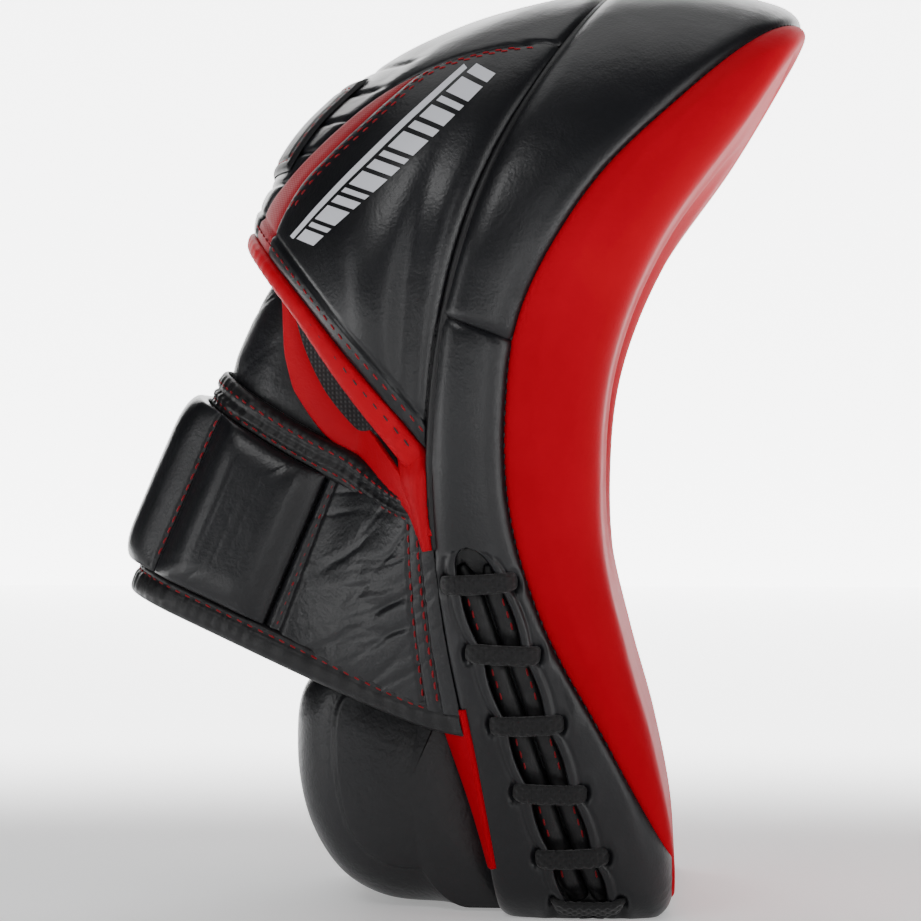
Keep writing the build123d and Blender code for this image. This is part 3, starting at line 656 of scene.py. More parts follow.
# Base, flat across the wrist end.
base_rows = np.flatnonzero(np.abs(full[:HALF_WAY, 0]) <= BASE_HALF)
base_rows = base_rows[full[base_rows, 1] < 5]
bp, bn = resample(full[base_rows], count=80, extra=(side_n[base_rows],))
base = profile(bp, bn, spread(34), "black")
mirrored = base[::-1] * [1, -1, 1]
base = np.concatenate([mirrored[:-1], base])
base[..., 2] += seam_dip(BASE_HALF - np.abs(base[..., 1]), 0.8, 1.0)
make("base_leather", base, quads(*base.shape[:2]), BLACK, nodes=("base_panel",))

# Thread along the strike seam.
seam_path = red_rings[:, 0]
seam_out = np.concatenate([np.zeros((len(loop_n), 1)), loop_n], 1)
above = loop_p[:, 1] > 14
first = np.flatnonzero(above)[0]
last = np.flatnonzero(above)[-1]
stitch("strike_seam_thread", seam_path[first:last], seam_out[first:last], BLACK_THREAD, length=1.7, gap=1.4,
       radius=0.3, lift=0.55)

# ------------------------------------------------------------------ hood

OPEN_N = np.array([0.757, 0.0, 0.654])
OPEN_N = OPEN_N / np.linalg.norm(OPEN_N)
OPEN_P = np.array([-6.2, 0.0, 139.0])
HOOD_P = 2 / 2.4
Z_LOW, Z_TOP = 104.0, 279.3


def hood_table():
    """Hood surface over height and share of the arch, -1 right to +1 left, on equal arc lengths."""
    zs = np.r_[np.linspace(Z_LOW, 255, 230), np.linspace(255.4, Z_TOP, 90)]
    a = np.radians(np.linspace(-90, 90, 721))
    u = np.linspace(-1, 1, 361)
    rows = []
    for z in zs:
        w, rear_x = max(float(half(z)) - 0.3, 0.5), float(REAR(z)) + 0.4
        y = w * np.sign(a) * np.abs(np.sin(a)) ** HOOD_P
        x = rear_x - (rear_x - float(HOOD_BACK(z))) * np.cos(a) ** HOOD_P
        d = np.r_[0, np.cumsum(np.hypot(np.diff(x), np.diff(y)))]
        q = (u + 1) / 2 * d[-1]
        rows.append(np.stack([np.interp(q, d, x), np.interp(q, d, y), np.full(len(u), z)], -1))
    table = np.array(rows)
    n = normals(table)
    if n[100, 180, 0] > 0:
        n = -n
    return zs, u, table, n


HZ, HU, HT, HN = hood_table()


def look_up(table, z, u):
    """Value between a table's rows and columns."""
    z, u = np.broadcast_arrays(np.asarray(z, float), np.asarray(u, float))
    i = np.clip(np.searchsorted(HZ, z) - 1, 0, len(HZ) - 2)
    t = np.clip((z - HZ[i]) / (HZ[i + 1] - HZ[i]), 0, 1)[..., None]
    g = (u + 1) / 2 * (len(HU) - 1)
    j = np.clip(g.astype(int), 0, len(HU) - 2)
    s = np.clip(g - j, 0, 1)[..., None]
    return ((table[i, j] * (1 - s) + table[i, j + 1] * s) * (1 - t)
            + (table[i + 1, j] * (1 - s) + table[i + 1, j + 1] * s) * t)


def hood(z, u, lift=0.0):
    """Hood points lift off the surface at height z and share u of the arch, and normals."""
    n = look_up(HN, z, u)
    n = n / np.linalg.norm(n, axis=-1, keepdims=True)
    return look_up(HT, z, u) + n * np.asarray(lift)[..., None], n


def plane_distance(p):
    """Distance of points from the opening's plane."""
    return (p - OPEN_P) @ OPEN_N


dist = plane_distance(HT)
z_open = np.array([np.interp(0.0, dist[:, j], HZ) for j in range(len(HU))])


def opening_z(u):
    """Height of the opening's edge."""
    return np.interp(u, HU, z_open)


INNER = curve([(37.5, 196), (44, 211), (51, 218), (56.5, 225), (59.6, 232), (60.0, 239), (60.0, 247.5),
               (60.0, 290)])
OUTER = curve([(55.5, 196), (59.3, 206), (62.8, 218), (65.9, 225), (66.6, 232), (65.0, 239), (60.3, 248.5),
               (60.1, 290)])


def border_u(y_of_z, z):
    """Share of the arch at which the hood is y wide, at heights z."""
    z = np.asarray(z, float)
    want = y_of_z(z)
    u = np.linspace(0, 1, 240)
    y = look_up(HT, z[:, None], u[None, :])[..., 1]
    return np.array([np.interp(w, row, u) for w, row in zip(want, y)])


TRIM = 4.4          # width of the turned edge
PAD_GROOVE = 3.4    # how deep the hood dips where it meets the pad

# Rows run up from the opening; on a row the height changes with u, so borders are found by a few rounds.
V = np.r_[np.linspace(0, 0.06, 12)[:-1], np.linspace(0.06, 1, 150)]


def row_z(v, u):
    """Height on row v, 0 at the opening and 1 at the top."""
    low = opening_z(u)
    return low + (Z_TOP - low) * v


def border(y_of_z):
    """Share of the arch at which each row meets a border line."""
    u = np.full(len(V), 0.6)
    for _ in range(14):
        u = 0.5 * u + 0.5 * border_u(y_of_z, row_z(V, u))
    return u


u_in, u_out = border(INNER), border(OUTER)
u_out = np.maximum(u_out, u_in)


def hood_detail(u, v):
    """Padding relief: roll over the binding, groove at the pad, soft folds."""
    out = (0.2 + 1.4 * smooth(0.45, 0.7, np.abs(u))) * np.sin(np.pi * v) * (1 - np.abs(u) ** 8)
    out = out - PAD_GROOVE * np.exp(-((1 - np.abs(u)) / 0.022) ** 1.3) - 1.3 * np.exp(-v / 0.015)
    out = out + 2.6 * np.exp(-(((np.abs(u) - 0.80) / 0.10) ** 2 + ((v - 0.16) / 0.17) ** 2))
    fold = np.exp(-(((np.abs(u) - 0.93 + 0.10 * v) / 0.035) ** 2))
    out = out - 1.6 * fold * np.exp(-((v - 0.2) / 0.35) ** 2)
    from_edge = v * (Z_TOP - opening_z(u)) * OPEN_N[2]
    out = out + 0.5 * (1 - smooth(TRIM - 0.4, TRIM + 0.4, from_edge))
    out = out - 0.35 * np.exp(-((from_edge - TRIM - 0.6) / 0.5) ** 2)
    out = out + 0.05 * np.sin(v * 31 + 7 * u) * np.sin(u * 23 - 5 * v)
    return out


def hood_piece(name, ua, ub, material, node_names, count, edges, puff=0.0, extra=None,
               rows=len(V)):
    """A hood panel between two border lines of u, dipping at the borders that are listed as seams."""
    t, ua, ub, v = spread(count), ua[:rows], ub[:rows], V[:rows, None]
    u = ua[:, None] + (ub - ua)[:, None] * t[None, :]
    z = row_z(v, u)
    flat = hood(z, u)[0]
    across = np.linalg.norm(np.diff(flat, axis=1), axis=-1)
    d = np.concatenate([np.zeros((rows, 1)), np.cumsum(across, 1)], 1)
    lift = hood_detail(u, v)
    if edges[0]:
        lift = lift - edges[0] * np.exp(-d / 1.1)
    if edges[1]:
        lift = lift - edges[1] * np.exp(-(d[:, -1:] - d) / 1.1)
    lift = lift + puff * np.minimum(np.minimum(d, d[:, -1:] - d), 4) / 4
    if extra is not None:
        lift = lift + extra(z, u)
    p, _ = hood(z, u, lift)
    make(name, p, quads(*p.shape[:2]), material, nodes=node_names)


one = np.ones(len(V))
SEAM_DEEP = 0.8
for sign, word in ((-1, "right"), (1, "left")):
    hood_piece(f"hood_{word}_side", sign * u_out, sign * one, BLACK, ("hood_side_panel", "hood_foam"),
               110, (SEAM_DEEP, 0), 0.0)
    hood_piece(f"{word}_flex", sign * u_in, sign * u_out, RED_STRETCH, (f"{word}_stretch_inset",),
               16, (0.7, 0.7), -0.2, None, int(np.argmax(u_out - u_in < 0.004)))


RIB_FROM, RIB_PITCH = 222, 9


def spine_ribs(z, u):
    """Channel quilting across the back of the hand."""
    zone = smooth(0.60, 0.50, np.abs(u)) * smooth(214, 219, z) * smooth(262, 254, z)
    return -0.9 * zone * np.exp(-(((z - RIB_FROM) % RIB_PITCH - 4.5) / 0.8) ** 2) - 0.6 * zone


hood_piece("hood_spine", -u_in, u_in, BLACK, ("hood_centre_panel",), 150,
           (SEAM_DEEP, SEAM_DEEP), 0.3, spine_ribs)

# Knuckle patch, standing proud on the spine.
PATCH_U, PATCH_LOW, PATCH_HIGH = 0.40, 221, 249.5
uu, zz = np.meshgrid(np.linspace(-PATCH_U, PATCH_U, 90), np.linspace(PATCH_LOW, PATCH_HIGH, 60),
                     indexing="ij")
inset = np.minimum(np.minimum((PATCH_U - np.abs(uu)) * 110, zz - PATCH_LOW), PATCH_HIGH - zz)
high = 0.3 + 1.3 * (1 - np.exp(-inset / 1.2)) - 0.6 * np.exp(-((inset - 3.4) / 0.6) ** 2)
patch, _ = hood(zz, uu, high)
skirt = hood(zz, uu, 0.2 + 0 * zz)[0]
rim = (inset < 1e-6)
patch[rim] = skirt[rim]
make("knuckle_pad", patch, quads(*patch.shape[:2]), BLACK_EDGE, nodes=("knuckle_patch",))
for edge_u in (-0.372, 0.372):
    zl = np.linspace(224, 247, 60)
    p, n = hood(zl, edge_u + 0 * zl, 1.0 + 0 * zl)
    stitch("patch_stitches", p, n, RED_THREAD)
ul = np.linspace(-0.36, 0.36, 160)
for zl in (224.2, 246.3):
    p, n = hood(zl + 0 * ul, ul, 1.0 + 0 * ul)
    stitch("patch_stitches", p, n, RED_THREAD)

# Twin stitch lines beside each inset.
for sign in (-1, 1):
    for gap_u in (0.026, 0.042):
        keep = V < 0.93
        us = sign * (u_out + gap_u)[keep]
        z = row_z(V[keep], us)
        line, n = hood(z, us, hood_detail(us, V[keep]) + 0.1)
        inside = (z > 208) & (z < 256)
        stitch("flex_stitches", line[inside], n[inside], RED_THREAD, length=2.2, gap=1.6, radius=0.28,
               lift=0.1)

# Inner lining, one padding thickness in.
t = np.linspace(-1, 1, 120)
V2 = np.linspace(0, 1, 60)
z = row_z(V2[:, None], t[None, :])
inside_p = hood(z, t[None, :], (-5.0 - 3.2 * smooth(0, 0.1, 1 - np.abs(t)))[None, :] + 0 * z)[0]
make("hood_lining_cloth", inside_p, quads(*inside_p.shape[:2])[:, ::-1], LINING, nodes=("hood_lining",))

# Generic pale print on the hood's right flank: a rule over plain slanted bars, no lettering.
PRINT_CORNERS = ((200, -0.546), (252, -0.762), (195, -0.632), (245, -0.871))
BAR_WIDTHS = (5.2, 2.0, 6.4, 3.0, 1.8, 5.6, 3.4, 2.0, 6.0, 2.6, 4.4, 1.8, 5.4, 3.2)
BAR_GAP, PRINT_LENGTH, SLANT = 1.5, 73.0, 0.035


def print_patch(q0, q1, r0, r1, slant):
    """Patch of print between shares q of its length and r of its width."""
    q, r = np.meshgrid(np.linspace(q0, q1, max(int((q1 - q0) * 80), 5)), np.linspace(r0, r1, 12),
                       indexing="ij")
    q = q + slant * (r - 0.5)
    far = np.array(PRINT_CORNERS, float)
    top = far[0] * (1 - q)[..., None] + far[1] * q[..., None]
    low = far[2] * (1 - q)[..., None] + far[3] * q[..., None]
    zu = top * (1 - r)[..., None] + low * r[..., None]
    sag = 4 * q * (1 - q)
    z, u = zu[..., 0] - 4 * sag, zu[..., 1] - 0.04 * sag
    v = (z - opening_z(u)) / (Z_TOP - opening_z(u))
    points, _ = hood(z, u, hood_detail(u, v) + 0.12)
    return points.reshape(-1, 3), quads(*q.shape)


patches, at = [print_patch(0.0, 0.97, 0.0, 0.20, 0)], 0.0
for wide_mm in BAR_WIDTHS:
    patches.append(print_patch(at / PRINT_LENGTH + 0.02, (at + wide_mm) / PRINT_LENGTH + 0.02, 0.30, 1.0,
                               SLANT))
    at += wide_mm + BAR_GAP
starts = np.cumsum([0] + [len(p) for p, _ in patches[:-1]])
make("side_print", np.concatenate([p for p, _ in patches]),
     np.concatenate([f + k for (_, f), k in zip(patches, starts)]), PRINT)

# Binding round the opening, wide by high at full size.
BINDING_POINTS, BINDING_WIDE, BINDING_HIGH = 420, 4.5, 4.1
ub = np.linspace(-1, 1, BINDING_POINTS)
edge_p, edge_n = hood(opening_z(ub), ub, hood_detail(ub, 0 * ub))
size = (0.62 + 0.28 * smooth(0.6, 0.96, np.abs(ub)))[:, None]
centre = edge_p - edge_n * (BINDING_HIGH * size - 0.6) - OPEN_N * (BINDING_WIDE * size + 0.2)
centre, bn, size = resample(centre, count=BINDING_POINTS, extra=(edge_n, size))
bn /= np.linalg.norm(bn, axis=1, keepdims=True)
size = size[:, 0]
arc = np.linspace(-1, 1, BINDING_POINTS)
skin, f = sweep(centre, bn, loop(BINDING_WIDE, BINDING_HIGH, 2.6, 32), scale=size)
skin += (0.08 * np.sin(arc * 160))[:, None, None] * bn[:, None]
make("opening_binding", skin, f, RED_EDGE, nodes=("hood_binding",))

# Turned seam in the groove between the hood and the pad.
round_top = full[:, 1] > 108
seam_line = np.stack([REAR(full[round_top, 1]) + 0.3, *(full[round_top] - side_n[round_top] * 1.7).T], -1)
seam_out = np.stack([0 * side_n[round_top, 0], *side_n[round_top].T], -1)
seam_line, seam_out = resample(seam_line, count=500, extra=(seam_out,))
skin, f = sweep(seam_line, seam_out, loop(1.5, 1.2, 2.0, 16))
make("hood_seam_welt", skin, f, BLACK_EDGE)

# Stitches along the turned edge above the binding, and black ones in the binding's lower parts.
ut = np.linspace(-0.985, 0.985, 400)
zt = opening_z(ut) + 0.62 * TRIM / OPEN_N[2]
line, n = hood(zt, ut, hood_detail(ut, (zt - opening_z(ut)) / (Z_TOP - opening_z(ut))) + 0.05)
stitch("opening_stitches", line, n, RED_THREAD, length=2.5, gap=1.5, radius=0.32)
bind_line = centre + bn * 4.25 * size[:, None] + OPEN_N * 1.2
for lo, hi in ((0.02, 0.30), (0.70, 0.98)):
    part = slice(int(lo * BINDING_POINTS), int(hi * BINDING_POINTS))
    stitch("binding_stitches", bind_line[part], bn[part], BLACK_THREAD, length=2.6, gap=2.0, radius=0.3)

# ------------------------------------------------------------------ wrist: a rail round the cuff

TILT, FLARE = math.radians(23.5), math.radians(15.5)
ORIGIN = np.array([-90.15, 0.0, 130.0])
UP = np.array([math.sin(TILT), 0, math.cos(TILT)])
OUT = np.array([-math.cos(TILT), 0, math.sin(TILT)])
CUFF_HALF, CORNER, BACK_U = 43.5, 24.0, -6.0   # half width, corner radius, and how far in the back is
CORNER_Y = CUFF_HALF + CORNER * math.tan(FLARE) - CORNER / math.cos(FLARE)
ARC = CORNER * (math.pi / 2 - FLARE)
S_WALL = CORNER_Y + ARC
S_HINGE = S_WALL + 27.4
S_CORNER = CORNER_Y + ARC / 2
S_END = 128.0                           # where the cuff meets the pad
S_LAST = S_END - 0.3


def wall(s):
    """(u, y) of the cuff's outer surface at distance s >= 0 round from the middle of the back."""
    s = np.asarray(s, float)
    turn = np.clip((s - CORNER_Y) / CORNER, 0, ARC / CORNER)
    past = np.maximum(s - S_WALL, 0)
    u = BACK_U - CORNER + CORNER * np.cos(turn) - past * math.cos(FLARE)
    y = np.minimum(s, CORNER_Y) + CORNER * np.sin(turn) + past * math.sin(FLARE)
    return u, y


def rail_base(s, w):
    """Cuff surface s round it, positive on the wearer's right, and w up it; it turns out to the pad."""
    s, w = np.broadcast_arrays(np.asarray(s, float), np.asarray(w, float))
    side, a = np.where(s < 0, -1.0, 1.0), np.abs(s)
    u, y = wall(np.minimum(a, S_HINGE))
    p0 = ORIGIN + OUT * u[..., None] + UP * w[..., None]
    p0[..., 1] = y
    z_end = 54 + (w + 36) / 71 * 70
    end = np.stack([REAR(z_end) + 0.8, half(z_end) - 1.6, z_end], -1)
    t0 = np.array([-math.cos(FLARE) * OUT[0], math.sin(FLARE), -math.cos(FLARE) * OUT[2]])
    t1 = np.array([0.72, 0.69, -0.05])
    size = np.linalg.norm(end - p0, axis=-1, keepdims=True)
    q = np.clip((a - S_HINGE) / (S_END - S_HINGE), 0, 1.0)[..., None]
    p1, p2 = p0 + t0 * size * 0.36, end - t1 * size * 0.30
    p = (1 - q) ** 3 * p0 + 3 * (1 - q) ** 2 * q * p1 + 3 * (1 - q) * q**2 * p2 + q**3 * end
    p[..., 1] *= -side
    return p


def rail(s, w, lift=0.0):
    """Points lift off the cuff surface, and the outward normals there."""
    s, w, lift = np.broadcast_arrays(np.asarray(s, float), np.asarray(w, float), np.asarray(lift, float))
    s = np.clip(s, -S_LAST, S_LAST)
    ds = rail_base(s + 0.25, w) - rail_base(s - 0.25, w)
    dw = rail_base(s, w + 0.25) - rail_base(s, w - 0.25)
    n = np.cross(ds, dw)
    n /= np.linalg.norm(n, axis=-1, keepdims=True)
    return rail_base(s, w) + n * lift[..., None], n


def dip(s):
    """How far the cuff's upper edge sinks on its way to the pad."""
    along = np.abs(s)
    return -6.0 * smooth(20, 85, along) * (1 - 0.8 * smooth(92, 128, along))


def rail_stitch(name, s, w, lift, material=RED_THREAD, body="mitt", **form):
    """Stitches along a line on the cuff."""
    s, w, lift = np.broadcast_arrays(np.asarray(s, float), np.asarray(w, float), np.asarray(lift, float))
    p, n = rail(s, w, lift)
    return stitch(name, p, n, material, body=body, **form)


def creases(s, w, seed, count, s_range, w_range, deep):
    """Soft slanted creases in supple leather."""
    pick = np.random.default_rng(seed)
    out = np.zeros(np.broadcast(s, w).shape)
    for _ in range(count):
        cs, cw = pick.uniform(*s_range), pick.uniform(*w_range)
        angle, long, thin = pick.uniform(0.5, 1.1), pick.uniform(8, 22), pick.uniform(0.5, 1.2)
        a = (s - cs) * math.cos(angle) + (w - cw) * math.sin(angle)
        b = -(s - cs) * math.sin(angle) + (w - cw) * math.cos(angle)
        out -= deep * pick.uniform(0.4, 1) * np.exp(-(b / thin) ** 2 - (a / long) ** 2)
    return out


# Padding inside the cuff, and leather on its two fixed flanks.
s = np.linspace(-S_LAST, S_LAST, 240)
w = -35.0 + (69.0 + dip(s)[:, None]) * np.linspace(0, 1, 50)[None, :]
shell, _ = rail(s[:, None], w, -0.3)
make("cuff_lining", shell, quads(*shell.shape[:2]), LINING, nodes=("cuff_padding",),
     thick=4.4)

for sign, word, cad in ((1, "right", "strap_root_panel"), (-1, "left", "left_cuff_panel")):
    s = np.linspace(S_HINGE + 0.6, S_LAST, 150)
    w = np.linspace(-29.5, 29.5, 120)
    a, b = s[:, None] - s[0], s[-1] - s[:, None]
    lift = 3.2 - 1.5 * np.exp(-a / 1.2) - 0.9 * np.exp(-(((a - 2.6) / 0.8) ** 2)) - 2.2 * np.exp(-b / 2.5)
    lift = lift + 1.8 * smooth(4, 16, a) * smooth(3, 16, b) * (1 - (w[None, :] / 34) ** 2)
    lift = lift - 0.8 * np.exp(-((b - 4.6) / 0.7) ** 2) - 0.8 * np.exp(-((b - 8.6) / 0.7) ** 2)
    lift = lift + creases(s[:, None], w[None, :], 12 + sign, 30, (S_HINGE + 6, S_END - 8), (-26, 26), 0.32)
    p, _ = rail(sign * s[:, None], w[None, :], lift)
    f = quads(*p.shape[:2])
    make(f"{word}_cuff_leather", p, f if sign > 0 else f[:, ::-1], BLACK_SOFT, nodes=(cad,))
    up = np.linspace(-26.5, 26.5, 160)
    if sign > 0:
        for off, turn in ((2.0, 1), (3.3, -1)):
            rail_stitch("hinge_stitches", S_HINGE + 0.6 + off + 0 * up, up[::turn], 2.1, length=2.1, gap=1.0,
                        radius=0.36)
    for off in (4.6, 8.6):
        rail_stitch("pad_side_stitches", sign * (S_LAST - off) + 0 * up, up, 2.9, length=2.4, gap=1.1,
                    radius=0.38)


def band_height(s, tall, back):
    """Band height round the cuff: lower across the back by the share back, and tapered at the pad."""
    along = np.abs(s)
    return tall * (back + (1 - back) * smooth(36, 62, along)) * (0.4 + 0.6 * smooth(0, 12, S_END - along))


def band(name, w_mid, half_w, tall, back, cad, rows, grooves, sink=0.0):
    """Rolled band round the cuff; grooves and rows of stitches are distances from its middle."""
    s = np.linspace(S_LAST, -S_LAST, 520)
    t = np.linspace(0, 2 * np.pi, 72, endpoint=False)
    c, d = np.cos(t), np.sin(t)
    w_off = half_w * np.sign(c) * np.abs(c) ** (2 / 2.8)
    up = np.where(d > 0, np.abs(d) ** (2 / 2.4), -0.3 * np.abs(d))
    lift = band_height(s, tall, back)[:, None] * up[None, :]
    for at, deep in grooves:
        lift = lift - deep * np.exp(-((w_off[None, :] - at) / 0.8) ** 2) * (d > 0)[None, :]
    pucker = np.sin(s[:, None] * 1.7) + 0.6 * np.sin(s[:, None] * 0.83 + 1)
    lift = lift + 0.12 * pucker * np.maximum(d, 0)[None, :]
    p, _ = rail(s[:, None], w_mid + sink * dip(s)[:, None] + w_off[None, :], lift)
    make(name, p, quads(*p.shape[:2], wrap_v=True), BLACK_EDGE, nodes=(cad,))
    line = np.linspace(-S_END + 6, S_END - 6, 700)
    for row in rows:
        height = band_height(line, tall, back) * (1 - abs(row / half_w) ** 2.8) ** (1 / 2.4)
        dent = sum(deep * np.exp(-((row - at) / 0.8) ** 2) for at, deep in grooves)
        rail_stitch(f"{name}_stitches", line, w_mid + sink * dip(line) + row, height - dent - 0.05,
                    length=2.5, gap=1.2, radius=0.34)


band("cuff_top_roll", 31.4, 5.6, 4.6, 0.35, "cuff_top_band", (2.4, -2.9), ((0.2, 1.1), (-2.9, 0.5)), 1.0)
band("cuff_bottom_roll", -31.4, 4.9, 4.4, 0.4, "cuff_bottom_band", (2.2,), ((2.2, 0.6),))

# Closure strap: three padded lengths that meet at the fixed flank and at both corners of the cuff.


def pillow(name, s0, s1, w0, w1, low, high, bend, cad, flange=(0.0, 0.0), seed=0, crease=0):
    """Padded length of strap from s0 round to s1, with a flat sewn margin of width flange at each end."""
    count = 150
    s = np.linspace(s0, s1, count)
    t = np.linspace(0, 2 * np.pi, 140, endpoint=False)
    c, d = np.cos(t), np.sin(t)
    mid, reach = ((w0 + w1 + dip(s)) / 2)[:, None], ((w1 + dip(s) - w0) / 2)[:, None]
    w_off = reach * (np.sign(c) * np.abs(c) ** (2 / 11.0))[None, :]
    shape = np.where(d > 0, np.abs(d) ** (2 / 6.0), -(np.abs(d) ** (2 / 6.0)))
    top = (d > 0)[None, :]
    along0, along1 = np.abs(s - s0), np.abs(s1 - s)
    height = (high - low) * np.ones(count)
    for margin, along in ((flange[0], along0), (flange[1], along1)):
        if margin:
            height = height - (high - low - 2.3) * (1 - smooth(margin - 1.5, margin + 7.0, along))
    round_end = np.sqrt(np.clip(1 - (1 - np.minimum(np.minimum(along0, along1) / 1.6, 1)) ** 2, 0.02, 1))
    inner = (smooth(0, 12, along0) * smooth(0, 12, along1))[:, None]
    puffed = 2.5 * inner * np.maximum(1 - (w_off / reach) ** 6, 0)
    lift = low + height[:, None] / 2 * (1 + shape[None, :] * round_end[:, None]) + puffed * top
    if crease:
        lift = lift + creases(s[:, None], w_off + mid, seed, crease, (min(s0, s1), max(s0, s1)),
                              (w0 + 4, w1 - 4), 0.3) * top
    p, _ = rail(s[:, None], mid + w_off, lift)
    m = p.shape[1]
    faces = quads(count, m, wrap_v=True).tolist()
    faces += [list(range(m)), [(count - 1) * m + k for k in range(m - 1, -1, -1)]]
    return make(name, p, faces, BLACK, nodes=(cad,), bend=bend)


def across(body, next_body, s, reach=3.0):
    """Bodies and points either side of where the strap folds at s: body on the pad's right side of it, next
    body past it.
    """
    ends = [rail(np.array([s + k * reach]), np.array([0.0]), np.array([5.6]))[0][0] * MM for k in (1, -1)]
    return body, next_body, tuple(ends[0]), tuple(ends[1])


AT_HINGE = across("mitt", "strap_tab", S_HINGE)
AT_RIGHT = across("strap_tab", "strap_back", S_CORNER)
AT_LEFT = across("strap_back", "strap_tip", -S_CORNER)
STRAP_W = (-27.2, 27.0)
SEAM_RIGHT, SEAM_LEFT = S_CORNER + 4.4, -S_CORNER + 4.4
pillow("strap_near_leather", S_HINGE + 0.3, SEAM_RIGHT, *STRAP_W, 1.5, 6.2, AT_HINGE, "strap_near_panel",
       (0.8, 1.0), 3, 4)
pillow("strap_back_leather", SEAM_RIGHT - 0.2, SEAM_LEFT, *STRAP_W, 1.5, 6.2, AT_RIGHT, "strap_back_panel",
       (1.0, 1.0), 4, 4)
pillow("strap_tip_leather", SEAM_LEFT - 0.2, -S_HINGE + 4.1, *STRAP_W, 1.6, 6.0, AT_LEFT, "strap_tip_panel",
       (1.0, 3.5), 5, 6)
up = np.linspace(23.3, -25, 150)
rail_stitch("corner_stitches", SEAM_RIGHT + 1.3 + 0 * up, up, 5.4, body="strap_tab", length=2.3, gap=1.2,
            radius=0.34)
rail_stitch("tip_stitches", -S_HINGE + 6.4 + 0 * up, np.minimum(up, 19.5), 4.3, body="strap_tip", length=2.3,
            gap=1.2, radius=0.34)

# Hook patch under the strap's tip, loop patch on the cuff.
for name, body, cad, s_range, w_range, lift in (
        ("hook_cloth", "strap_tip", "hook_patch", (-54.8, -75.4), (-23, 19.5), 1.35),
        ("loop_cloth", "mitt", "loop_patch", (-53, -84.6), (-24, 20.5), 0.55)):
    s, w = np.linspace(*s_range, 70), np.linspace(*w_range, 90)
    fuzz = np.random.default_rng(5).uniform(-0.12, 0.12, (70, 90))
    p, _ = rail(s[:, None], w[None, :], lift + fuzz)
    make(name, p, quads(*p.shape[:2])[:, ::-1], LOOP, nodes=(cad,), thick=0.5)

# ------------------------------------------------------------------ back of the hand and gussets

TONGUE_EDGE = np.array([(27, 89), (33, 87), (37, 73), (41, 63), (50, 55), (64, 48), (84, 42)], float)


def lean(w):
    """How far the back-of-hand panel leans in, w up the cuff."""
    return 0.0045 * np.maximum(w - 50, 0) ** 2


w = np.linspace(27, 84, 90)
share = np.linspace(-1, 1, 150)
reach = np.interp(w, TONGUE_EDGE[:, 0], TONGUE_EDGE[:, 1])
s_grid = share[:, None] * reach[None, :]
lift = -2.0 - lean(w)[None, :] + 1.4 * (1 - share[:, None] ** 4) * smooth(33, 44, w)[None, :]
lift = lift + creases(s_grid, 0 * s_grid + w[None, :], 31, 14, (-50, 50), (36, 74), 0.35)
tongue, _ = rail(s_grid, w[None, :] + 0 * s_grid, lift)
make("back_of_hand_leather", tongue, quads(*tongue.shape[:2]), BLACK_SOFT, nodes=("back_of_hand_panel",),
     thick=3.0)

GUSSET_LOW = [(-50.5, 192), (-49.4, 179), (-49, 166), (-46.4, 155.6), (-41.3, 147.8), (-37.2, 142.6),
              (-27.5, 134.8), (-20.5, 130), (-13.5, 125), (-8.4, 119.5), (-5.6, 112.5)]
GUSSET_HIGH = [(-42.4, 184), (-43.4, 175), (-42.4, 167), (-37, 159), (-30.6, 152.8), (-23.6, 145.4),
               (-17.2, 137.8), (-12.6, 132), (-7.8, 125), (-5.2, 118), (-4.0, 112)]


def cuff_y(x, z):
    """Half width of the cuff's flank at a side-view point, widening to the pad's edge."""
    u = (x - ORIGIN[0]) * OUT[0] + (z - ORIGIN[2]) * OUT[2]
    turn = np.sqrt(np.clip(1 - ((u - BACK_U + CORNER) / CORNER) ** 2, 0, 1))
    flat = CUFF_HALF + (BACK_U - u) * math.tan(FLARE)
    y = np.minimum(flat, CORNER_Y + CORNER * turn + 50 * (u < BACK_U - CORNER * (1 - math.sin(FLARE))))
    return y + (half(z) - 2.4 - y) * smooth(-27, -3, x)


def soften(points, count, rounds=6):
    """Even points along a given line, with its corners rounded."""
    p = resample(points, count=count)
    for _ in range(rounds):
        p[1:-1] = 0.25 * p[:-2] + 0.5 * p[1:-1] + 0.25 * p[2:]
    return p


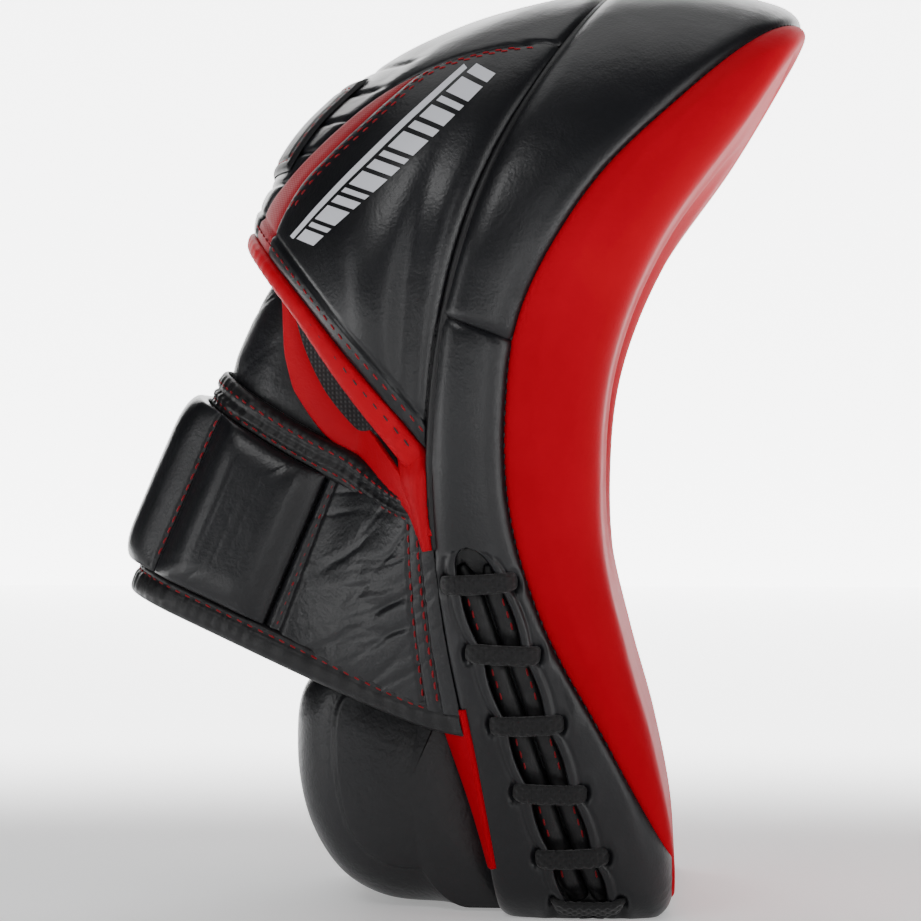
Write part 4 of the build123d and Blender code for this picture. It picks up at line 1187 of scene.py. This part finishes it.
for side, word in ((-1, "right"), (1, "left")):
    low, high = soften(GUSSET_LOW, 120), soften(GUSSET_HIGH, 120)
    t = np.linspace(0, 1, 26)
    xz = low[:, None] * (1 - t)[None, :, None] + high[:, None] * t[None, :, None]
    puff = 0.8 * np.sin(np.pi * t)[None, :]
    y = cuff_y(xz[..., 0], xz[..., 1]) - 0.6 + 0.9 * t[None, :] + puff
    grid = np.stack([xz[..., 0], side * y, xz[..., 1]], -1)
    f = quads(*grid.shape[:2])
    make(f"{word}_gusset", grid, f if side > 0 else f[:, ::-1], RED_EDGE, nodes=(f"{word}_wrist_gusset",),
         thick=2.0)
    for edge_line, lift_y in ((low, -0.4), (high, 0.5)):
        path = np.stack([edge_line[:, 0], side * (cuff_y(edge_line[:, 0], edge_line[:, 1]) + lift_y),
                         edge_line[:, 1]], -1)
        out = np.tile([0.0, side, 0.0], (len(path), 1))
        skin, f = sweep(path, out, loop(0.95, 0.9, 2.0, 12))
        make(f"{word}_gusset_binding", skin, f, BLACK_EDGE)

    # Red leaf that carries the binding down along the pad's edge.
    z = np.linspace(136, 108, 50)
    t = np.linspace(0, 1, 16)
    left_x = np.interp(z, [108, 118, 127, 136], [-4.6, -7.8, -12.0, -12.5])
    right_x = REAR(z) - 1.7
    leaf_x = left_x[:, None] * (1 - t)[None, :] + right_x[:, None] * t[None, :]
    leaf_z = np.broadcast_to(z[:, None], leaf_x.shape)
    leaf_y = cuff_y(leaf_x, leaf_z) * (1 - t)[None, :] + (half(z) - 1.6)[:, None] * t[None, :]
    leaf_y = leaf_y + 0.3 + 0.8 * np.sin(np.pi * t)[None, :] - 1.2 * np.exp(-(1 - t) / 0.1)[None, :]
    leaf_y = leaf_y - 2.5 * smooth(128, 136, leaf_z)
    grid = np.stack([leaf_x, side * leaf_y, leaf_z], -1)
    make(f"{word}_binding_leaf", grid, quads(*grid.shape[:2])[:, ::side], RED_EDGE,
         thick=1.4)

    # Mesh lining behind the slot between the gusset and the hood.
    pick = edge_p[ub * side > 0.05]
    pick = pick[np.argsort(pick[:, 0])]
    x = np.linspace(-52, -9, 90)
    upper = np.stack([x, side * (np.interp(x, pick[:, 0], np.abs(pick[:, 1])) - 17),
                      np.interp(x, pick[:, 0], pick[:, 2])], -1)
    order = np.argsort(low[:, 0])
    z_low = np.interp(x, low[order, 0], low[order, 1])
    lower = np.stack([x, side * (cuff_y(x, z_low) - 3.5), z_low - 2], -1)
    t = np.linspace(0, 1, 30)
    grid = lower[:, None] * (1 - t)[None, :, None] + upper[:, None] * t[None, :, None]
    make(f"{word}_slot_lining", grid, quads(*grid.shape[:2]), LINING)

# ------------------------------------------------------------------ wrist cushion and red wedges

CUSHION_LINE = [(10, 74), (-33, 74), (-42.8, 71.4), (-47, 62), (-47.2, 42), (-44.4, 27), (-38.5, 15),
                (-31, 6.5), (-18, 0.8), (16, 0.6)]
CUSHION_HALF, CUSHION_ROUND = 53, 16    # half width, and the radius of its side edges
CUSHION_FLAT = CUSHION_HALF - CUSHION_ROUND
front_z = np.linspace(0.6, 74, 30)[1:-1]
line = np.concatenate([soften(CUSHION_LINE, 170, 60), np.stack([REAR(front_z) + 1.0, front_z], -1)])
y_line = np.r_[-CUSHION_HALF + CUSHION_ROUND * (1 - np.cos(np.linspace(0, np.pi / 2, 16))),
              np.linspace(-CUSHION_FLAT, CUSHION_FLAT, 60)[1:-1]]
y_line = np.r_[y_line, -y_line[15::-1]]
past = np.minimum(np.maximum(np.abs(y_line) - CUSHION_FLAT, 0), 15.6)
inset = CUSHION_ROUND - np.sqrt(np.maximum(CUSHION_ROUND**2 - past**2, 0))
heart = np.stack([np.full(len(line), -4.0), np.clip(line[:, 1], 24, 52)], -1)
arm = line - heart
arm_len = np.linalg.norm(arm, axis=1, keepdims=True)
inset = inset[:, None, None] * smooth(6, -16, line[:, :1])[None]
ring_xz = heart[None] + arm[None] * np.clip(1 - inset / arm_len[None], 0.02, 1)
bulge = 0.5 * np.cos(y_line / 54 * np.pi / 2)[:, None]
ring_xz[..., 0] -= bulge * smooth(0, -30, line[:, 0])[None, :]
ring_xz[..., 1] = np.maximum(ring_xz[..., 1], 0.5)
ring_xz[..., 0] = np.minimum(ring_xz[..., 0], REAR(ring_xz[..., 1]) + 1.0)
cushion = np.stack([ring_xz[..., 0], np.broadcast_to(y_line[:, None], ring_xz.shape[:2]), ring_xz[..., 1]],
                   -1)
caps = []
for row in (cushion[0], cushion[-1]):
    middle = np.array([-12.0, row[0, 1] * 1.015, 38.0])
    r = np.linspace(0, 1, 22)[1:]
    cap = row[None] * (1 - r)[:, None, None] + middle[None, None] * r[:, None, None]
    cap[..., 1] = row[0, 1] * (1 + 0.055 * (1 - (1 - r) ** 2))[:, None]
    caps.append(cap)
cushion = np.concatenate([caps[0][::-1], cushion, caps[1]])
cushion_n = normals(cushion)
if cushion_n[60, 85, 0] > 0:
    cushion_n = -cushion_n
gy, gz = cushion[..., 1], cushion[..., 2]
cushion = cushion + cushion_n * (creases(gy, gz, 21, 20, (-52, 52), (6, 70), 0.4))[..., None]
cushion[..., 2] = np.maximum(cushion[..., 2], 0.3)
make("wrist_cushion", cushion, quads(*cushion.shape[:2], wrap_v=True), BLACK_SOFT,
     nodes=("wrist_cushion_cover", "wrist_cushion_foam"))

WEDGE_TOP, WEDGE_FOOT = 62, 15
for side, word in ((-1, "right"), (1, "left")):
    z = np.linspace(WEDGE_TOP, WEDGE_FOOT, 80)
    t = np.linspace(0, 1, 24)
    inner_edge = np.stack([-2.8 + 16.3 * (WEDGE_TOP - z) / 46, 0 * z + 56.2, z], -1)
    outer_edge = np.stack([REAR(z) + 2.0, half(z) + 0.2, z], -1)
    grid = inner_edge[:, None] * (1 - t)[None, :, None] + outer_edge[:, None] * t[None, :, None]
    grid[..., 0] -= 1.0 * np.sin(np.pi * t)[None, :]
    grid[..., 1] *= side
    f = quads(*grid.shape[:2])
    make(f"{word}_wedge_leather", grid, f if side > 0 else f[:, ::-1], RED, nodes=(f"{word}_wedge",),
         thick=1.6)

# ------------------------------------------------------------------ inside the hand compartment

GRIP_Z, GRIP_R, GRIP_RISE = 152.0, 30.0, 17.0
ang = np.linspace(0, 2 * np.pi, 120, endpoint=False)
rad = np.sin(np.linspace(0.02, np.pi / 2, 40))
gy = GRIP_R * rad[None, :] * np.cos(ang)[:, None]
gz = GRIP_Z + GRIP_R * rad[None, :] * np.sin(ang)[:, None]
rise = GRIP_RISE * np.sqrt(np.maximum(1 - rad**2, 0)) ** 0.9
grip = np.stack([REAR(gz) - rise[None, :] + 0.4, gy, gz], -1)
make("palm_grip_leather", grip, quads(*grip.shape[:2], wrap_u=True), BLACK, nodes=("palm_grip",))

a, z = np.meshgrid(np.linspace(-np.pi / 2, np.pi / 2, 120), np.linspace(196, 224, 44), indexing="ij")
rise = 26 * np.cos(a) ** 0.7
elastic = np.stack([REAR(z) - rise + 0.5, 51.5 * np.sin(a), z], -1)
make("finger_elastic", elastic, quads(*elastic.shape[:2]), BLACK_SOFT, nodes=("finger_band",),
     thick=2.0)

# ------------------------------------------------------------------ studio and camera


def studio_floor():
    """Pale floor that is dim near the mitt and bright far off, so the background reads white."""
    material, tree, out = shader("studio white", (0.80, 0.80, 0.81), 0.8, specular=0.1)
    where = node(tree, "ShaderNodeTexCoord")
    far = node(tree, "ShaderNodeVectorMath", operation="DISTANCE")
    far.inputs[1].default_value = (0, -0.55, 0)
    link(tree, where.outputs["Object"], far.inputs[0])
    grow = node(tree, "ShaderNodeMapRange", interpolation_type="SMOOTHSTEP")
    for key, value in (("From Min", 0.68), ("From Max", 1.1), ("To Min", FLOOR_NEAR), ("To Max", FLOOR_FAR)):
        grow.inputs[key].default_value = value
    link(tree, far.outputs["Value"], grow.inputs["Value"])
    out.inputs["Emission Color"].default_value = (1, 1, 1, 1)
    link(tree, grow.outputs["Result"], out.inputs["Emission Strength"])
    return material


FLOOR_NEAR, FLOOR_FAR, WALL_GLOW = 0.32, 4.0, 4.0
FLOOR_Z, SPAN = -0.4, 6000.0
make("floor", [(-SPAN, -SPAN, FLOOR_Z), (SPAN, -SPAN, FLOOR_Z), (SPAN, SPAN, FLOOR_Z),
               (-SPAN, SPAN, FLOOR_Z)], [[0, 1, 2, 3]], studio_floor(), stage=True)
WALL_HALF, WALL_Y, WALL_TOP = 1500, 2400, 2200
glow, _, glow_out = shader("wall light", (1, 1, 1), 1.0, specular=0.0)
glow_out.inputs["Emission Color"].default_value = (1, 1, 1, 1)
glow_out.inputs["Emission Strength"].default_value = WALL_GLOW
make("back wall", [(-WALL_HALF, WALL_Y, FLOOR_Z), (WALL_HALF, WALL_Y, FLOOR_Z), (WALL_HALF, WALL_Y, WALL_TOP),
                   (-WALL_HALF, WALL_Y, WALL_TOP)], [[0, 1, 2, 3]], glow, stage=True)

world = bpy.data.worlds.new("studio")
bpy.context.scene.world = world
world.use_nodes = True
world.node_tree.nodes["Background"].inputs["Color"].default_value = (1, 1, 1, 1)
world.node_tree.nodes["Background"].inputs["Strength"].default_value = 0.03


def lamp(name, place, aim, size, power):
    """Area lamp aimed at a point; metres and watts."""
    data = bpy.data.lights.new(name, "AREA")
    data.shape = "RECTANGLE"
    data.size, data.size_y = size
    data.energy = power
    obj = bpy.data.objects.new(name, data)
    bpy.context.scene.collection.objects.link(obj)
    obj.location = Vector(place)
    obj.rotation_euler = (Vector(aim) - Vector(place)).to_track_quat("-Z", "Y").to_euler()
    return obj


lamp("key", (-0.45, -0.85, 0.95), (0, 0, 0.15), (0.35, 0.35), 2.8)
lamp("side strip", (0.22, -1.05, 0.34), (0, 0, 0.13), (0.10, 0.8), 1.0)
lamp("low left", (-0.85, -0.62, 0.22), (0, 0, 0.10), (0.10, 0.6), 1.5)
lamp("right", (0.95, -0.45, 0.5), (0.03, 0, 0.15), (0.35, 0.8), 1.8)
lamp("right strip", (0.80, -0.62, 0.34), (0, 0, 0.15), (0.07, 0.7), 1.3)
lamp("top", (0.0, 0.2, 1.1), (0, 0, 0.2), (0.9, 0.6), 2.2)

CAMERA_TURN, CAMERA_Z = math.radians(3.5), 0.134
cam_data = bpy.data.cameras.new("camera")
cam_data.sensor_width, cam_data.lens = 36.0, 124.1
cam_data.clip_end = 30
cam = bpy.data.objects.new("camera", cam_data)
bpy.context.scene.collection.objects.link(cam)
cam.location = (math.sin(CAMERA_TURN), -math.cos(CAMERA_TURN), CAMERA_Z)
cam.rotation_euler = (Vector((0, 0, CAMERA_Z)) - cam.location).to_track_quat("-Z", "Y").to_euler()
bpy.context.scene.camera = cam
